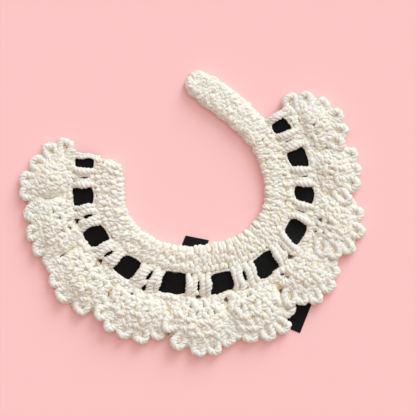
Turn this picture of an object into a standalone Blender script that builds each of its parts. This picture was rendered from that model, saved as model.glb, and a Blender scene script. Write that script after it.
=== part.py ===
"""Crochet pet collar, lying flat on a surface: a neck band that ends in a strap, an eyelet row with a
woven ribbon, and ten domed shells edged with picot loops.

The collar lies on Z = 0 with its neck opening round a vertical axis. Lengths are in millimetres and
angles in degrees, counter-clockwise about the neck centre from +X, until add_solid turns them to metres.
"""

import math

import bmesh
import bpy
import numpy as np

METRES = 0.001
SEAM = 0.3  # clearance between neighbouring solids

# The neck opening's centre, from the middle of the whole collar.
NECK_CENTRE = np.array([1.8, 23.4])

# The neck edge is nearly a circle, a little tighter where the collar curls towards the strap.
NECK_EDGE = (
    # angle, radius
    (170, 43.3),
    (180, 42.7),
    (192, 43.7),
    (204, 45.3),
    (222, 45.7),
    (240, 44.3),
    (258, 42.8),
    (274, 41.8),
    (288, 41.6),
    (300, 43.2),
    (318, 44.3),
    (334, 44.8),
    (346, 43.0),
    (356, 41.0),
    (368, 39.0),
    (384, 37.8),
    (396, 37.2),
)

# The strap's centre line beyond the neck edge's last row, to the centre of its round tip.
STRAP_LINE = (
    # x, y, width
    (30.6, 58.4, 16.8),
    (24.0, 64.2, 16.6),
    (16.9, 69.8, 17.0),
    (9.8, 74.8, 17.3),
    (4.3, 78.5, 15.7),
)

# Distances outward from the neck edge.
BAND_WIDTH = 16.0
RIBBON_START = 16.4
RIBBON_WIDTH = 14.0
RIBBON_MIDDLE = RIBBON_START + RIBBON_WIDTH / 2
RAIL_START = 30.8
RAIL_WIDTH = 2.6
SHELL_START = RAIL_START + RAIL_WIDTH + SEAM

# The band's cross-section: across is -1 at the neck edge and 1 at the eyelet row.
BAND_SECTION = (
    # across, height
    (-0.80, 0.0),
    (-0.97, 1.3),
    (-1.00, 3.3),
    (-0.87, 5.7),
    (-0.64, 6.7),
    (-0.44, 6.0),
    (-0.18, 6.6),
    (0.06, 5.8),
    (0.32, 6.5),
    (0.56, 5.7),
    (0.80, 6.0),
    (1.00, 4.0),
    (0.98, 1.2),
    (0.84, 0.0),
)
BAND_STEP = 5.2
TIP_STATIONS = (0.62, 0.30, 0.12, 0.02)  # shares of a step, counted from the strap's round tip
SQUARE_END_STATIONS = (0.00, 0.16, 0.50)  # shares of a step, counted from the square end
SQUARE_END_ROUNDING = 3.0
SQUARE_END_SHARE = 0.84  # how much of the width and height the square end keeps
LOWEST_AT_TIP = 0.45  # how much of its height the strap keeps at the very tip

RAIL_SECTION = (
    # across, height
    (-0.90, 0.0),
    (-1.00, 2.6),
    (-0.62, 5.2),
    (0.50, 5.4),
    (1.00, 3.0),
    (0.90, 0.0),
)
RAIL_STEP = 6.5

# Ribbon windows in order from the right-hand end of the eyelet row to the left-hand end.
WINDOW_ANGLES = (388.7, 365.6, 346.1, 331.2, 309.9, 284.1, 256.5, 230.8, 211.7, 193.6, 171.2)

# One row for each shell, from the upper right to the upper left. Each grows out of the pair of posts
# between two windows. Its dome leans by turn from straight outward, and its picots spread evenly from
# the first lean to the last, counter-clockwise positive. A reach is from the root to a picot's tip.
SHELLS = (
    # turn, picots, first lean, last lean, first reach, middle reach, last reach
    (27.0, 6, 93.0, -38.0, 28.5, 25.3, 23.5),
    (-15.0, 4, 15.0, -57.0, 26.5, 26.5, 26.5),
    (-22.0, 5, 11.0, -76.0, 26.7, 30.5, 26.3),
    (5.0, 6, 50.0, -53.0, 28.5, 30.0, 24.5),
    (12.0, 6, 53.0, -46.0, 33.5, 33.0, 28.5),
    (0.0, 6, 52.0, -48.0, 31.5, 34.8, 29.0),
    (0.0, 6, 60.0, -45.0, 27.5, 30.5, 32.0),
    (2.0, 5, 51.0, -41.0, 32.0, 32.5, 31.0),
    (5.0, 5, 47.0, -41.0, 32.5, 29.5, 28.0),
    (-10.0, 6, 50.0, -78.0, 35.5, 25.5, 22.0),
)
PICOT_WIDTH = 10.0
PICOT_POINTS = 6
PICOT_ARC = 150.0  # how much of each picot's round tip shows, in degrees
SHELL_CENTRE = 13.0  # from the shell's root to the middle of its dome
SHELL_ROOT_SHARE = 0.84  # how much of the rail between two windows' middles a shell grows out of
SHELL_ROOT_POINTS = 5
SHELL_FLANK = (
    # lean past the outermost picot, reach
    (24.0, 20.5),
    (50.0, 14.0),
)
SHELL_WIDEST_LEAN = 88.0
SHELL_SQUEEZE = 1.5  # how near the next shell the outline starts to be squeezed in
SHELL_RINGS = (
    # share of the outline, height
    (0.95, 0.0),
    (1.00, 1.9),
    (0.95, 4.1),
    (0.80, 4.7),
    (0.66, 5.2),
    (0.54, 7.1),
    (0.30, 8.3),
    (0.12, 8.7),
)

# The posts that pass over the ribbon.
POST_SPACING = 8.0
POST_UNDERSIDE_SHARE = 0.6  # how much of a post's width its flat underside takes
POST_TOP_SHARE = 0.66
POST_PROFILE = (
    # share of the way out, width, underside, top
    (0.00, 6.4, 4.3, 6.3),
    (0.20, 5.0, 4.3, 6.9),
    (0.80, 5.0, 4.3, 6.9),
    (1.00, 6.4, 4.3, 6.2),
)
END_POST_RIGHT = (394.5, 0.8)  # angle, share of a post's width
END_POST_LEFT = (168.6, 0.6)

# The hidden posts that the ribbon passes over.
UNDER_POST_WIDTH = 6.0
UNDER_POST_HEIGHT = 2.6
UNDER_POST_CHAMFER = ((1.0, 0.6), (0.8, 1.0))  # share of the half width, share of the height

# The ribbon's wall, and the underside's height under a pair of posts, in a window and at its two ends.
RIBBON_THICKNESS = 1.0
RIBBON_UNDER_POSTS = 2.4
RIBBON_IN_WINDOWS = 2.9
RIBBON_AT_ENDS = RIBBON_THICKNESS + SEAM
WINDOW_HALF = 3.1  # half of the stretch that lies level over a hidden post
RIBBON_RISE = 4.0  # the stretch in which it rises or falls
RIBBON_END_DIP = 2.0
RIBBON_STATIONS = 116
RIBBON_FIRST_ANGLE = 168.0
RIBBON_LAST_ANGLE = 395.7

# The tails lie on the surface: each runs from the row's end to a fold, then out to its tip.
TAIL_LEFT = (
    # x, y
    (-62.8, 29.8),
    (-22.5, -74.9),
    (2.4, -13.8),
)
TAIL_RIGHT = (
    # x, y
    (55.6, 54.1),
    (88.8, 10.2),
    (57.7, -67.7),
)
TAIL_LEFT_SLANT = -1.4  # how much further than the tip's middle its corner inside the fold reaches
TAIL_RIGHT_SLANT = 0.0

# Colour as linear RGB, roughness.
COTTON_COLOUR = (0.86, 0.82, 0.74)
COTTON_ROUGHNESS = 0.9
RIBBON_COLOUR = (0.008, 0.008, 0.009)
RIBBON_ROUGHNESS = 0.5


def clear_scene():
    for obj in list(bpy.data.objects):
        bpy.data.objects.remove(obj, do_unlink=True)


def make_material(name, colour, roughness):
    material = bpy.data.materials.new(name)
    material.use_nodes = True
    shader = material.node_tree.nodes["Principled BSDF"]
    shader.inputs["Base Color"].default_value = (*colour, 1.0)
    shader.inputs["Roughness"].default_value = roughness
    shader.inputs["Metallic"].default_value = 0.0
    material.diffuse_color = (*colour, 1.0)
    return material


def smooth(places, values, at):
    """Reads a smooth curve through (place, value) pairs, whose slope at each is that of its neighbours."""
    places = np.asarray(places, float)
    values = np.asarray(values, float)
    slopes = np.gradient(values, places, axis=0)
    i = int(np.clip(np.searchsorted(places, at) - 1, 0, len(places) - 2))
    span = places[i + 1] - places[i]
    t = (at - places[i]) / span
    return (
        (2 * t**3 - 3 * t**2 + 1) * values[i]
        + (t**3 - 2 * t**2 + t) * span * slopes[i]
        + (3 * t**2 - 2 * t**3) * values[i + 1]
        + (t**3 - t**2) * span * slopes[i + 1]
    )


def direction(angle):
    return np.array([math.cos(math.radians(angle)), math.sin(math.radians(angle))])


def quarter_turn(vector):
    return np.array([-vector[1], vector[0]])


def neck_radius(angle):
    return float(smooth(*zip(*NECK_EDGE), angle))


def out_of_neck(angle):
    """The unit vector square to the neck edge at this angle, pointing away from the opening."""
    slope = (neck_radius(angle + 0.5) - neck_radius(angle - 0.5)) / math.radians(1.0)
    outward = neck_radius(angle) * direction(angle) - slope * direction(angle + 90)
    return outward / np.linalg.norm(outward)


def from_neck(angle, outward):
    """The point this far outward from the neck edge's point at this angle."""
    return NECK_CENTRE + neck_radius(angle) * direction(angle) + outward * out_of_neck(angle)


def eyelet_distances():
    """Closely spaced angles, and the distance along the middle of the eyelet row at each."""
    angles = np.arange(NECK_EDGE[0][0] - 4.0, NECK_EDGE[-1][0] + 4.0, 0.5)
    line = np.array([from_neck(angle, RIBBON_MIDDLE) for angle in angles])
    steps = np.linalg.norm(np.diff(line, axis=0), axis=1)
    return angles, np.concatenate([[0], np.cumsum(steps)])


def walk(angle, distance):
    """The angle reached from another one by going a distance along the middle of the eyelet row."""
    angles, along = eyelet_distances()
    return float(np.interp(np.interp(angle, angles, along) + distance, along, angles))


def even_line(points, step):
    """Evenly spaced points on a smooth curve through these, about one step apart."""
    points = np.asarray(points, float)
    knots = np.concatenate([[0], np.cumsum(np.linalg.norm(np.diff(points, axis=0), axis=1))])
    fine = np.array([smooth(knots, points, t) for t in np.linspace(0, knots[-1], 20 * len(points))])
    along = np.concatenate([[0], np.cumsum(np.linalg.norm(np.diff(fine, axis=0), axis=1))])
    places = np.linspace(0, along[-1], max(2, round(along[-1] / step)) + 1)
    return np.column_stack([np.interp(places, along, fine[:, k]) for k in (0, 1)])


def outward_of(line):
    """The unit vector across a line at each point, to the right of its run: outward on the collar."""
    run = np.gradient(line, axis=0)
    run /= np.linalg.norm(run, axis=1)[:, None]
    return np.column_stack([run[:, 1], -run[:, 0]])


def ring_across(centre, across, half_width, section):
    """One cross-section of a swept strip, from its table of across and height."""
    return [(*(centre + across * share * half_width), height) for share, height in section]


def add_solid(name, rings, material):
    """Joins rings of points, one after the other, into one closed body with a face at each end."""
    bm = bmesh.new()
    loops = [[bm.verts.new([METRES * value for value in point]) for point in ring] for ring in rings]
    for before, after in zip(loops, loops[1:]):
        for i in range(len(before)):
            j = (i + 1) % len(before)
            bm.faces.new((before[i], before[j], after[j], after[i]))
    bm.faces.new(reversed(loops[0]))
    bm.faces.new(loops[-1])
    bmesh.ops.recalc_face_normals(bm, faces=bm.faces)
    bmesh.ops.triangulate(bm, faces=bm.faces)
    mesh = bpy.data.meshes.new(name)
    bm.to_mesh(mesh)
    bm.free()
    mesh.shade_smooth()
    mesh.set_sharp_from_angle(angle=math.radians(50))
    mesh.materials.append(material)
    obj = bpy.data.objects.new(name, mesh)
    bpy.context.scene.collection.objects.link(obj)
    return obj


def end_share(distance, radius):
    """The share of the full width that a round end of this radius leaves at a distance from its tip."""
    reach = min(distance / radius, 1.0)
    return math.sqrt(max(0.0, 1 - (1 - reach) ** 2))


def half_width_table(strap, base):
    """Distances back from the strap's very tip, and the band's half width at each: the band's own from the base on."""
    points = [*strap[::-1, :2], base]
    steps = [np.linalg.norm(b - a) for a, b in zip(points, points[1:])]
    halves = list(strap[::-1, 2] / 2) + [BAND_WIDTH / 2]
    return halves[0] + np.concatenate([[0], np.cumsum(steps)]), halves


def make_neck_band(material):
    strap = np.array(STRAP_LINE)
    tip_half = strap[-1, 2] / 2
    knots = [from_neck(angle, BAND_WIDTH / 2) for angle, _ in NECK_EDGE]
    distances, halves = half_width_table(strap, knots[-1])
    tip = strap[-1, :2]
    run = tip - strap[-2, :2]
    knots += list(strap[:, :2])
    knots.append(tip + tip_half * run / np.linalg.norm(run))
    line = even_line(knots, BAND_STEP)
    # Closer stations round the strap's tip and the square end, so that both are smooth.
    tip_stations = [line[-1] + (line[-2] - line[-1]) * share for share in TIP_STATIONS]
    end_stations = [line[0] + (line[1] - line[0]) * share for share in SQUARE_END_STATIONS]
    line = np.array(end_stations + list(line[1:-1]) + tip_stations)
    across = outward_of(line)
    along = np.concatenate([[0], np.cumsum(np.linalg.norm(np.diff(line, axis=0), axis=1))])
    tip_gap = TIP_STATIONS[-1] * BAND_STEP
    rings = []
    for centre, side, place in zip(line, across, along):
        to_tip = along[-1] + tip_gap - place
        taper = np.interp(to_tip, distances, halves)
        at_tip = end_share(to_tip, tip_half)
        at_end = SQUARE_END_SHARE + (1 - SQUARE_END_SHARE) * end_share(place, SQUARE_END_ROUNDING)
        width = taper * min(at_tip, at_end)
        lower = LOWEST_AT_TIP + (1 - LOWEST_AT_TIP) * min(at_tip, at_end)
        rounded = [(share, height * lower) for share, height in BAND_SECTION]
        rings.append(ring_across(centre, side, width, rounded))
    return add_solid("neck_band", rings, material)


def make_shell_rail(material):
    angles = np.arange(RIBBON_FIRST_ANGLE - 1.0, RIBBON_LAST_ANGLE + 2.0, 4.0)
    line = even_line([from_neck(a, RAIL_START + RAIL_WIDTH / 2) for a in angles], RAIL_STEP)
    rings = [
        ring_across(centre, side, RAIL_WIDTH / 2, RAIL_SECTION)
        for centre, side in zip(line, outward_of(line))
    ]
    return add_solid("shell_rail", rings, material)


def make_post(name, angle, share_of_width, material):
    """A tall stitch that bridges the ribbon from the band to the shell rail."""
    start = from_neck(angle, BAND_WIDTH + SEAM)
    end = from_neck(angle, RAIL_START - SEAM)
    side = quarter_turn(out_of_neck(angle))
    rings = []
    for share, width, low, high in POST_PROFILE:
        centre = start + (end - start) * share
        half = share_of_width * width / 2
        middle = (low + high) / 2
        under = POST_UNDERSIDE_SHARE
        top = POST_TOP_SHARE
        outline = ((-under, low), (under, low), (1, middle), (top, high), (-top, high), (-1, middle))
        rings.append([(*(centre + side * half * place), height) for place, height in outline])
    return add_solid(name, rings, material)


def post_angles():
    return [(a + b) / 2 for a, b in zip(WINDOW_ANGLES, WINDOW_ANGLES[1:])]


def make_posts(material):
    made = []
    for number, angle in enumerate(post_angles(), 1):
        for letter, step in (("a", POST_SPACING / 2), ("b", -POST_SPACING / 2)):
            made.append(make_post(f"post_{number:02d}_{letter}", walk(angle, step), 1.0, material))
    made.append(make_post("end_post_right", *END_POST_RIGHT, material))
    made.append(make_post("end_post_left", *END_POST_LEFT, material))
    return made


def make_under_posts(material):
    made = []
    for number, angle in enumerate(WINDOW_ANGLES, 1):
        start = from_neck(angle, BAND_WIDTH + SEAM)
        end = from_neck(angle, RAIL_START - SEAM)
        side = quarter_turn(out_of_neck(angle)) * UNDER_POST_WIDTH / 2
        right = [(place, share * UNDER_POST_HEIGHT) for place, share in ((1.0, 0.0), *UNDER_POST_CHAMFER)]
        outline = right + [(-place, height) for place, height in reversed(right)]
        rings = [[(*(point + side * place), height) for place, height in outline] for point in (start, end)]
        made.append(add_solid(f"under_post_{number:02d}", rings, material))
    return made


def fade(distance, start, length):
    """1 up to a distance, then down in a half wave to 0 over a length."""
    return 0.5 + 0.5 * math.cos(math.pi * min(max((distance - start) / length, 0.0), 1.0))


def ribbon_underside(place, windows, ends):
    """The height of the woven ribbon's underside: up over the hidden posts and down under the pairs."""
    lift = fade(np.abs(windows - place).min(), WINDOW_HALF, RIBBON_RISE)
    height = RIBBON_UNDER_POSTS + lift * (RIBBON_IN_WINDOWS - RIBBON_UNDER_POSTS)
    dip = fade(np.abs(ends - place).min(), 0.0, RIBBON_END_DIP)
    return height + dip * (RIBBON_AT_ENDS - height)


def make_woven_ribbon(material):
    angles, along = eyelet_distances()
    windows = np.interp(WINDOW_ANGLES, angles, along)
    ends = np.interp((RIBBON_FIRST_ANGLE, RIBBON_LAST_ANGLE), angles, along)
    rings = []
    for place in np.linspace(*ends, RIBBON_STATIONS):
        angle = float(np.interp(place, along, angles))
        low = ribbon_underside(place, windows, ends)
        inner = from_neck(angle, RIBBON_START)
        outer = from_neck(angle, RIBBON_START + RIBBON_WIDTH)
        corners = ((inner, low), (outer, low), (outer, low + RIBBON_THICKNESS), (inner, low + RIBBON_THICKNESS))
        rings.append([(*point, height) for point, height in corners])
    return add_solid("ribbon_woven", rings, material)


def crossing(point_a, run_a, point_b, run_b):
    """Where the line through one point along its run meets the other line."""
    share = np.linalg.solve(np.column_stack([run_a, -run_b]), point_b - point_a)[0]
    return point_a + share * run_a


def tail_outline(places, slant, grow):
    """The outline of a strip that runs to a fold and back out to its tip, wider all round by grow."""
    start, fold, tip = (np.array(place, float) for place in places)
    runs = [(fold - start) / np.linalg.norm(fold - start), (tip - fold) / np.linalg.norm(tip - fold)]
    bend = runs[0][0] * runs[1][1] - runs[0][1] * runs[1][0]
    sides = [np.array([run[1], -run[0]]) * math.copysign(1, bend) for run in runs]
    half = RIBBON_WIDTH / 2 + grow
    crease = (runs[0] + runs[1]) / np.linalg.norm(runs[0] + runs[1])
    outside = runs[0] - runs[1]
    corner_line = fold + grow * outside / np.linalg.norm(outside)
    start = start - grow * runs[0]
    tip = tip + grow * runs[1]
    return [
        start + half * sides[0],
        crossing(start + half * sides[0], runs[0], corner_line, crease),
        crossing(tip + half * sides[1], runs[1], corner_line, crease),
        tip + half * sides[1] - slant * runs[1],
        tip - half * sides[1] + slant * runs[1],
        crossing(start - half * sides[0], runs[0], tip - half * sides[1], runs[1]),
        start - half * sides[0],
    ]


def make_tail(name, places, slant, material):
    outline = tail_outline(places, slant, 0.0)
    rings = [[(*point, height) for point in outline] for height in (0.0, RIBBON_THICKNESS)]
    return add_solid(name, rings, material)


def cut_groove(name, places, slant, solids, material):
    """Cuts the room that a tail needs from the underside of each solid that lies over it."""
    outline = tail_outline(places, slant, SEAM)
    depth = (-2.0, RIBBON_THICKNESS + SEAM)
    cutter = add_solid(name, [[(*point, height) for point in outline] for height in depth], material)
    cutter.hide_render = True
    cutter.display_type = "WIRE"
    low = np.min(outline, axis=0) * METRES
    high = np.max(outline, axis=0) * METRES
    for obj in solids:
        points = np.array([vertex.co for vertex in obj.data.vertices])
        apart = (points.max(axis=0)[:2] < low).any() or (points.min(axis=0)[:2] > high).any()
        if apart or points[:, 2].min() > depth[1] * METRES:
            continue
        modifier = obj.modifiers.new(name, "BOOLEAN")
        modifier.operation = "DIFFERENCE"
        modifier.object = cutter


def shell_root(number):
    """The point on the rail that a shell fans out from, and the angle straight outward from it."""
    place = post_angles()[number]
    outward = out_of_neck(place)
    return from_neck(place, SHELL_START), math.degrees(math.atan2(outward[1], outward[0]))


def shell_outline(number):
    """The shell's outline from above: its root on the rail, a flank, the picots' round tips, a flank."""
    _, picots, first, last, first_reach, middle_reach, last_reach = SHELLS[number]
    root, straight = shell_root(number)
    leans = (last, (first + last) / 2, first)
    reaches = (last_reach, middle_reach, first_reach)
    points = []
    for extra, reach in reversed(SHELL_FLANK):
        if first + extra < SHELL_WIDEST_LEAN:
            points.append(root + reach * direction(straight + first + extra))
    for lean in np.linspace(first, last, picots):
        middle = float(smooth(leans, reaches, lean)) - PICOT_WIDTH / 2
        centre = root + middle * direction(straight + lean)
        for spread in np.linspace(PICOT_ARC / 2, -PICOT_ARC / 2, PICOT_POINTS):
            points.append(centre + PICOT_WIDTH / 2 * direction(straight + lean + spread))
    for extra, reach in SHELL_FLANK:
        if last - extra > -SHELL_WIDEST_LEAN:
            points.append(root + reach * direction(straight + last - extra))
    high, low = WINDOW_ANGLES[number], WINDOW_ANGLES[number + 1]
    reach = SHELL_ROOT_SHARE * (high - low) / 2
    for spread in np.linspace(-reach, reach, SHELL_ROOT_POINTS):
        points.append(from_neck((high + low) / 2 + spread, SHELL_START))
    return np.array(points)


def keep_between(points, number):
    """Squeezes what nears or passes the middle of a window, where the next shell starts, in before it."""
    for wall, sign, neighbour in ((number, 1, number > 0), (number + 1, -1, number < len(SHELLS) - 1)):
        if not neighbour:
            continue
        across = sign * quarter_turn(out_of_neck(WINDOW_ANGLES[wall]))
        room = -(points - from_neck(WINDOW_ANGLES[wall], SHELL_START)) @ across - SEAM / 2
        squeezed = SHELL_SQUEEZE * np.exp(np.minimum(room / SHELL_SQUEEZE, 1.0) - 1.0)
        points = points + np.outer(np.minimum(room - squeezed, 0) * (room < SHELL_SQUEEZE), across)
    return points


def keep_off_rail(points):
    """Moves points that lie on the rail outward to the line that the shells start from."""
    angles = np.arange(NECK_EDGE[0][0], NECK_EDGE[-1][0], 0.5)
    starts = np.array([from_neck(angle, SHELL_START) for angle in angles])
    kept = []
    for point in points:
        nearest = int(np.argmin(np.linalg.norm(starts - point, axis=1)))
        outward = out_of_neck(angles[nearest])
        inside = max(0.0, (starts[nearest] - point) @ outward)
        kept.append(point + inside * outward)
    return np.array(kept)


def make_shell(number, material):
    root, straight = shell_root(number)
    outline = keep_off_rail(keep_between(shell_outline(number), number))
    middle = root + SHELL_CENTRE * direction(straight + SHELLS[number][0])
    rings = [
        [(*(middle + share * (point - middle)), height) for point in outline]
        for share, height in SHELL_RINGS
    ]
    return add_solid(f"shell_{number + 1:02d}", rings, material)


def main():
    clear_scene()
    cotton = make_material("cotton_yarn", COTTON_COLOUR, COTTON_ROUGHNESS)
    ribbon = make_material("black_ribbon", RIBBON_COLOUR, RIBBON_ROUGHNESS)
    crochet = [make_neck_band(cotton), make_shell_rail(cotton)]
    crochet += make_posts(cotton)
    crochet += make_under_posts(cotton)
    crochet += [make_shell(number, cotton) for number in range(len(SHELLS))]
    make_woven_ribbon(ribbon)
    make_tail("ribbon_tail_left", TAIL_LEFT, TAIL_LEFT_SLANT, ribbon)
    make_tail("ribbon_tail_right", TAIL_RIGHT, TAIL_RIGHT_SLANT, ribbon)
    cut_groove("groove_left", TAIL_LEFT, TAIL_LEFT_SLANT, crochet, cotton)
    cut_groove("groove_right", TAIL_RIGHT, TAIL_RIGHT_SLANT, crochet, cotton)


main()
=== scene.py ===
"""Crochet pet collar, lying flat: every stitch is a swept strand of plied cotton yarn, laid over a core that
has the solids' form, with a black ribbon woven through the eyelets.

Lengths are in millimetres until make_mesh turns them to metres, and angles are in degrees, counter-clockwise
about the neck centre from +X.
"""

import math
from collections import namedtuple

import bpy
import numpy as np
from bpy.props import FloatProperty, IntProperty, PointerProperty, StringProperty
from bpy.types import Operator, Panel, PropertyGroup
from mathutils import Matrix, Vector


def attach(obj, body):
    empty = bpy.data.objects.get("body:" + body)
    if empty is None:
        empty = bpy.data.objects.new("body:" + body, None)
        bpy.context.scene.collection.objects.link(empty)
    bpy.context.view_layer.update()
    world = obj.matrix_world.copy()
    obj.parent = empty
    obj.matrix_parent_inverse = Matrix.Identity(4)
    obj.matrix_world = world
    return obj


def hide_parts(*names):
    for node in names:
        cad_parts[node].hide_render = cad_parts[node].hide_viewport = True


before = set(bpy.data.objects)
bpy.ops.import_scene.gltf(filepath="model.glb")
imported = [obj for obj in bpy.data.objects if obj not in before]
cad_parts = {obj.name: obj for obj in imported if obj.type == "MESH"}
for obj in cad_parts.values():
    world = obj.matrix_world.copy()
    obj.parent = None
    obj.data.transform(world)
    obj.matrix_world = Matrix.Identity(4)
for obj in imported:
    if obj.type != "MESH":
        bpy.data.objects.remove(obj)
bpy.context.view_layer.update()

bl_info = {
    "name": "Crochet pet collar",
    "version": (1, 0, 0),
    "blender": (4, 5, 0),
    "location": "View3D > Sidebar > Collar",
    "description": "Works a scalloped crochet collar with a woven ribbon, stitch by stitch",
    "category": "Add Mesh",
}

MM = 0.001
SEED = 7

# The neck opening's centre and edge, as the solids have them.
NECK_CENTRE = np.array([1.8, 23.4])
NECK_EDGE = (
    # angle, radius
    (170, 43.3),
    (180, 42.7),
    (192, 43.7),
    (204, 45.3),
    (222, 45.7),
    (240, 44.3),
    (258, 42.8),
    (274, 41.8),
    (288, 41.6),
    (300, 43.2),
    (318, 44.3),
    (334, 44.8),
    (346, 43.0),
    (356, 41.0),
    (368, 39.0),
    (384, 37.8),
    (396, 37.2),
)

# The strap's centre line beyond the neck edge's last row, to the centre of its round tip.
STRAP_LINE = np.array([
    # x, y, width
    (30.6, 58.0, 16.8),
    (24.0, 63.8, 16.6),
    (16.9, 69.4, 17.0),
    (9.8, 74.4, 17.3),
    (4.9, 77.5, 15.7),
])

# Widths, and places outward from the neck edge.
BAND_WIDTH = 16.0
RIBBON_START = 16.4
RIBBON_WIDTH = 14.0
RIBBON_MIDDLE = RIBBON_START + RIBBON_WIDTH / 2
RAIL_START = 30.8
RAIL_WIDTH = 2.6
SEAM = 0.3
SHELL_START = RAIL_START + RAIL_WIDTH + SEAM

# Ribbon windows from the right-hand end of the eyelet row to the left-hand end. Their sides are along the row
# from their angle, clockwise first, at the first and the second of WINDOW_SIDES. Edges are outward.
Window = namedtuple("Window", "angle neck_from neck_to shell_from shell_to neck_edge shell_edge")
WINDOWS = [Window(*row) for row in (
    (388.7, -3.9, 4.0, -5.2, 2.6, 16.8, 26.4),
    (365.6, -4.6, 5.1, -6.8, 4.9, 18.0, 28.4),
    (346.1, -3.7, 4.9, -6.1, 3.5, 18.2, 28.9),
    (331.2, -5.2, 6.5, -7.1, 5.1, 17.9, 28.9),
    (309.9, -6.0, 7.7, -7.0, 5.7, 18.0, 30.2),
    (284.1, -5.2, 7.0, -7.1, 6.8, 18.5, 30.6),
    (256.5, -6.4, 8.2, -8.2, 7.1, 16.0, 28.6),
    (230.8, -4.8, 7.8, -6.2, 5.5, 16.4, 28.8),
    (211.7, -5.3, 7.0, -5.3, 4.6, 17.3, 29.6),
    (193.6, -4.9, 5.3, -4.7, 5.0, 18.4, 30.2),
    (171.2, -2.6, 3.5, -2.2, 2.4, 18.0, 28.8),
)]
WINDOW_SIDES = (18.0, 29.0)

# The slit between the two posts that stand between each window and the next, and the hole at its shell end.
Slit = namedtuple("Slit", "widest middle length hole")
SLITS = [Slit(*row) for row in (
    (0.5, 22.0, 5.0, 0.0),
    (0.5, 24.0, 5.0, 0.0),
    (0.5, 22.0, 5.0, 0.5),
    (0.7, 22.0, 5.0, 0.9),
    (1.7, 23.6, 7.5, 1.5),
    (1.4, 23.8, 9.0, 1.5),
    (2.5, 21.4, 9.0, 1.5),
    (2.1, 23.5, 8.0, 1.5),
    (2.1, 23.0, 7.5, 0.6),
    (0.6, 24.0, 6.0, 0.4),
)]

# The single posts at the row's two ends, their sides along the row from the window's angle in the same way.
END_POSTS = (
    # window, outer side at the first, at the second, inner side at the first, at the second
    (WINDOWS[0], 4.0, 2.6, 9.2, 7.4),
    (WINDOWS[-1], -2.6, -2.2, -5.8, -5.4),
)

# The shells from the upper right to the upper left: three leans from straight outward, counter-clockwise
# positive, the reach from the shell's root to the line over the picots' tips at each, the heights of the
# first and the last picot's tip, and the size of its stitches as a share.
ShellRow = namedtuple(
    "ShellRow", "first middle last first_reach middle_reach last_reach first_height last_height size"
)
SHELLS = [ShellRow(*row) for row in (
    (93.0, 27.0, -38.0, 28.5, 25.3, 23.5, 3.8, 6.2, 0.80),
    (15.0, -21.0, -57.0, 26.5, 26.5, 26.5, 3.4, 6.4, 0.84),
    (11.0, -32.0, -76.0, 26.7, 30.5, 26.3, 3.4, 6.0, 0.88),
    (50.0, -2.0, -53.0, 28.5, 30.0, 24.5, 3.4, 5.4, 0.96),
    (53.0, 4.0, -46.0, 33.5, 33.0, 28.5, 3.6, 4.0, 1.00),
    (52.0, 2.0, -48.0, 31.5, 34.8, 29.0, 3.8, 6.4, 1.02),
    (60.0, 8.0, -45.0, 27.5, 30.5, 32.0, 3.4, 6.2, 1.00),
    (51.0, 5.0, -41.0, 32.0, 32.5, 31.0, 3.4, 4.0, 0.98),
    (47.0, 3.0, -41.0, 32.5, 29.5, 28.0, 3.4, 3.6, 0.95),
    (50.0, -14.0, -78.0, 35.5, 25.5, 22.0, 4.4, 3.6, 0.92),
)]

# The picots of each shell as they are worked: the lean and the reach of each one's tip.
PICOTS = (
    ((95.4, 28.2), (72.4, 26.7), (42.8, 24.7), (13.0, 25.2), (-15.4, 24.2), (-37.7, 23.2)),
    ((15.8, 25.8), (-10.8, 25.8), (-32.9, 26.5), (-58.6, 27.2)),
    ((8.5, 27.0), (-15.5, 30.1), (-40.2, 31.2), (-59.0, 29.9), (-76.9, 27.0)),
    ((49.0, 28.0), (30.4, 29.0), (10.3, 29.6), (-13.5, 29.2), (-33.5, 26.3), (-51.7, 27.1)),
    ((55.0, 33.6), (35.5, 35.7), (16.6, 33.0), (-6.6, 30.0), (-26.4, 27.7), (-47.0, 27.0)),
    ((54.0, 31.0), (33.2, 32.6), (12.5, 33.4), (-5.8, 33.0), (-32.2, 31.9), (-59.0, 27.8)),
    ((61.0, 27.0), (40.7, 29.1), (17.4, 29.7), (-8.1, 29.6), (-28.0, 30.9), (-46.0, 31.7)),
    ((54.9, 31.8), (28.0, 31.8), (-0.8, 31.6), (-21.9, 30.7), (-41.4, 30.4)),
    ((49.4, 33.1), (29.4, 30.6), (5.9, 28.9), (-21.8, 29.1), (-39.5, 27.2)),
    ((47.0, 34.0), (23.3, 30.8), (5.2, 29.2), (-23.4, 24.9), (-56.1, 24.3), (-84.7, 24.0)),
)


class CollarSizes(PropertyGroup):
    """Sizes of the yarn and its stitches in millimetres, and shares."""

    yarn: FloatProperty(name="Yarn", description="Width of a stitch's leg", default=3.5)
    lay: FloatProperty(name="Lay", description="Length in which the plies turn once", default=7.0)
    plies: IntProperty(name="Plies", description="Strands spun into the yarn", default=3, min=2, max=6)
    stitch: FloatProperty(name="Stitch", description="Spacing of legs in the band", default=2.65)
    shell_stitch: FloatProperty(name="Shell stitch", description="Spacing of legs in a shell", default=3.6)
    strap_stitch: FloatProperty(name="Strap stitch", description="Spacing of legs in the strap", default=2.1)
    picot_width: FloatProperty(name="Picot width", description="Width over a picot's loop", default=10.0)
    unevenness: FloatProperty(name="Unevenness", description="Share that stitches stray by", default=0.13)


class CollarColours(PropertyGroup):
    """sRGB colours, as hex values."""

    cotton: StringProperty(name="Cotton", description="Bleached yarn in the light", default="EFF0EC")
    cotton_warm: StringProperty(name="Warm cotton", description="Warmer streaks in it", default="EEE9DB")
    # Painted glow: the strands' sides are painted lighter than the cotton.
    painted_side_glow: StringProperty(name="Cotton sides", description="Where light gets through", default="FDF9E6")
    # Painted shade: the colour painted on yarn that lies deep between the stitches.
    painted_crevice_shade: StringProperty(name="Crevice", description="Yarn deep between the stitches", default="DABD7E")
    ribbon: StringProperty(name="Ribbon", description="Dyed ribbon", default="0E0E10")
    surface: StringProperty(name="Surface", description="The card that the collar lies on", default="FDCDCF")


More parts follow.
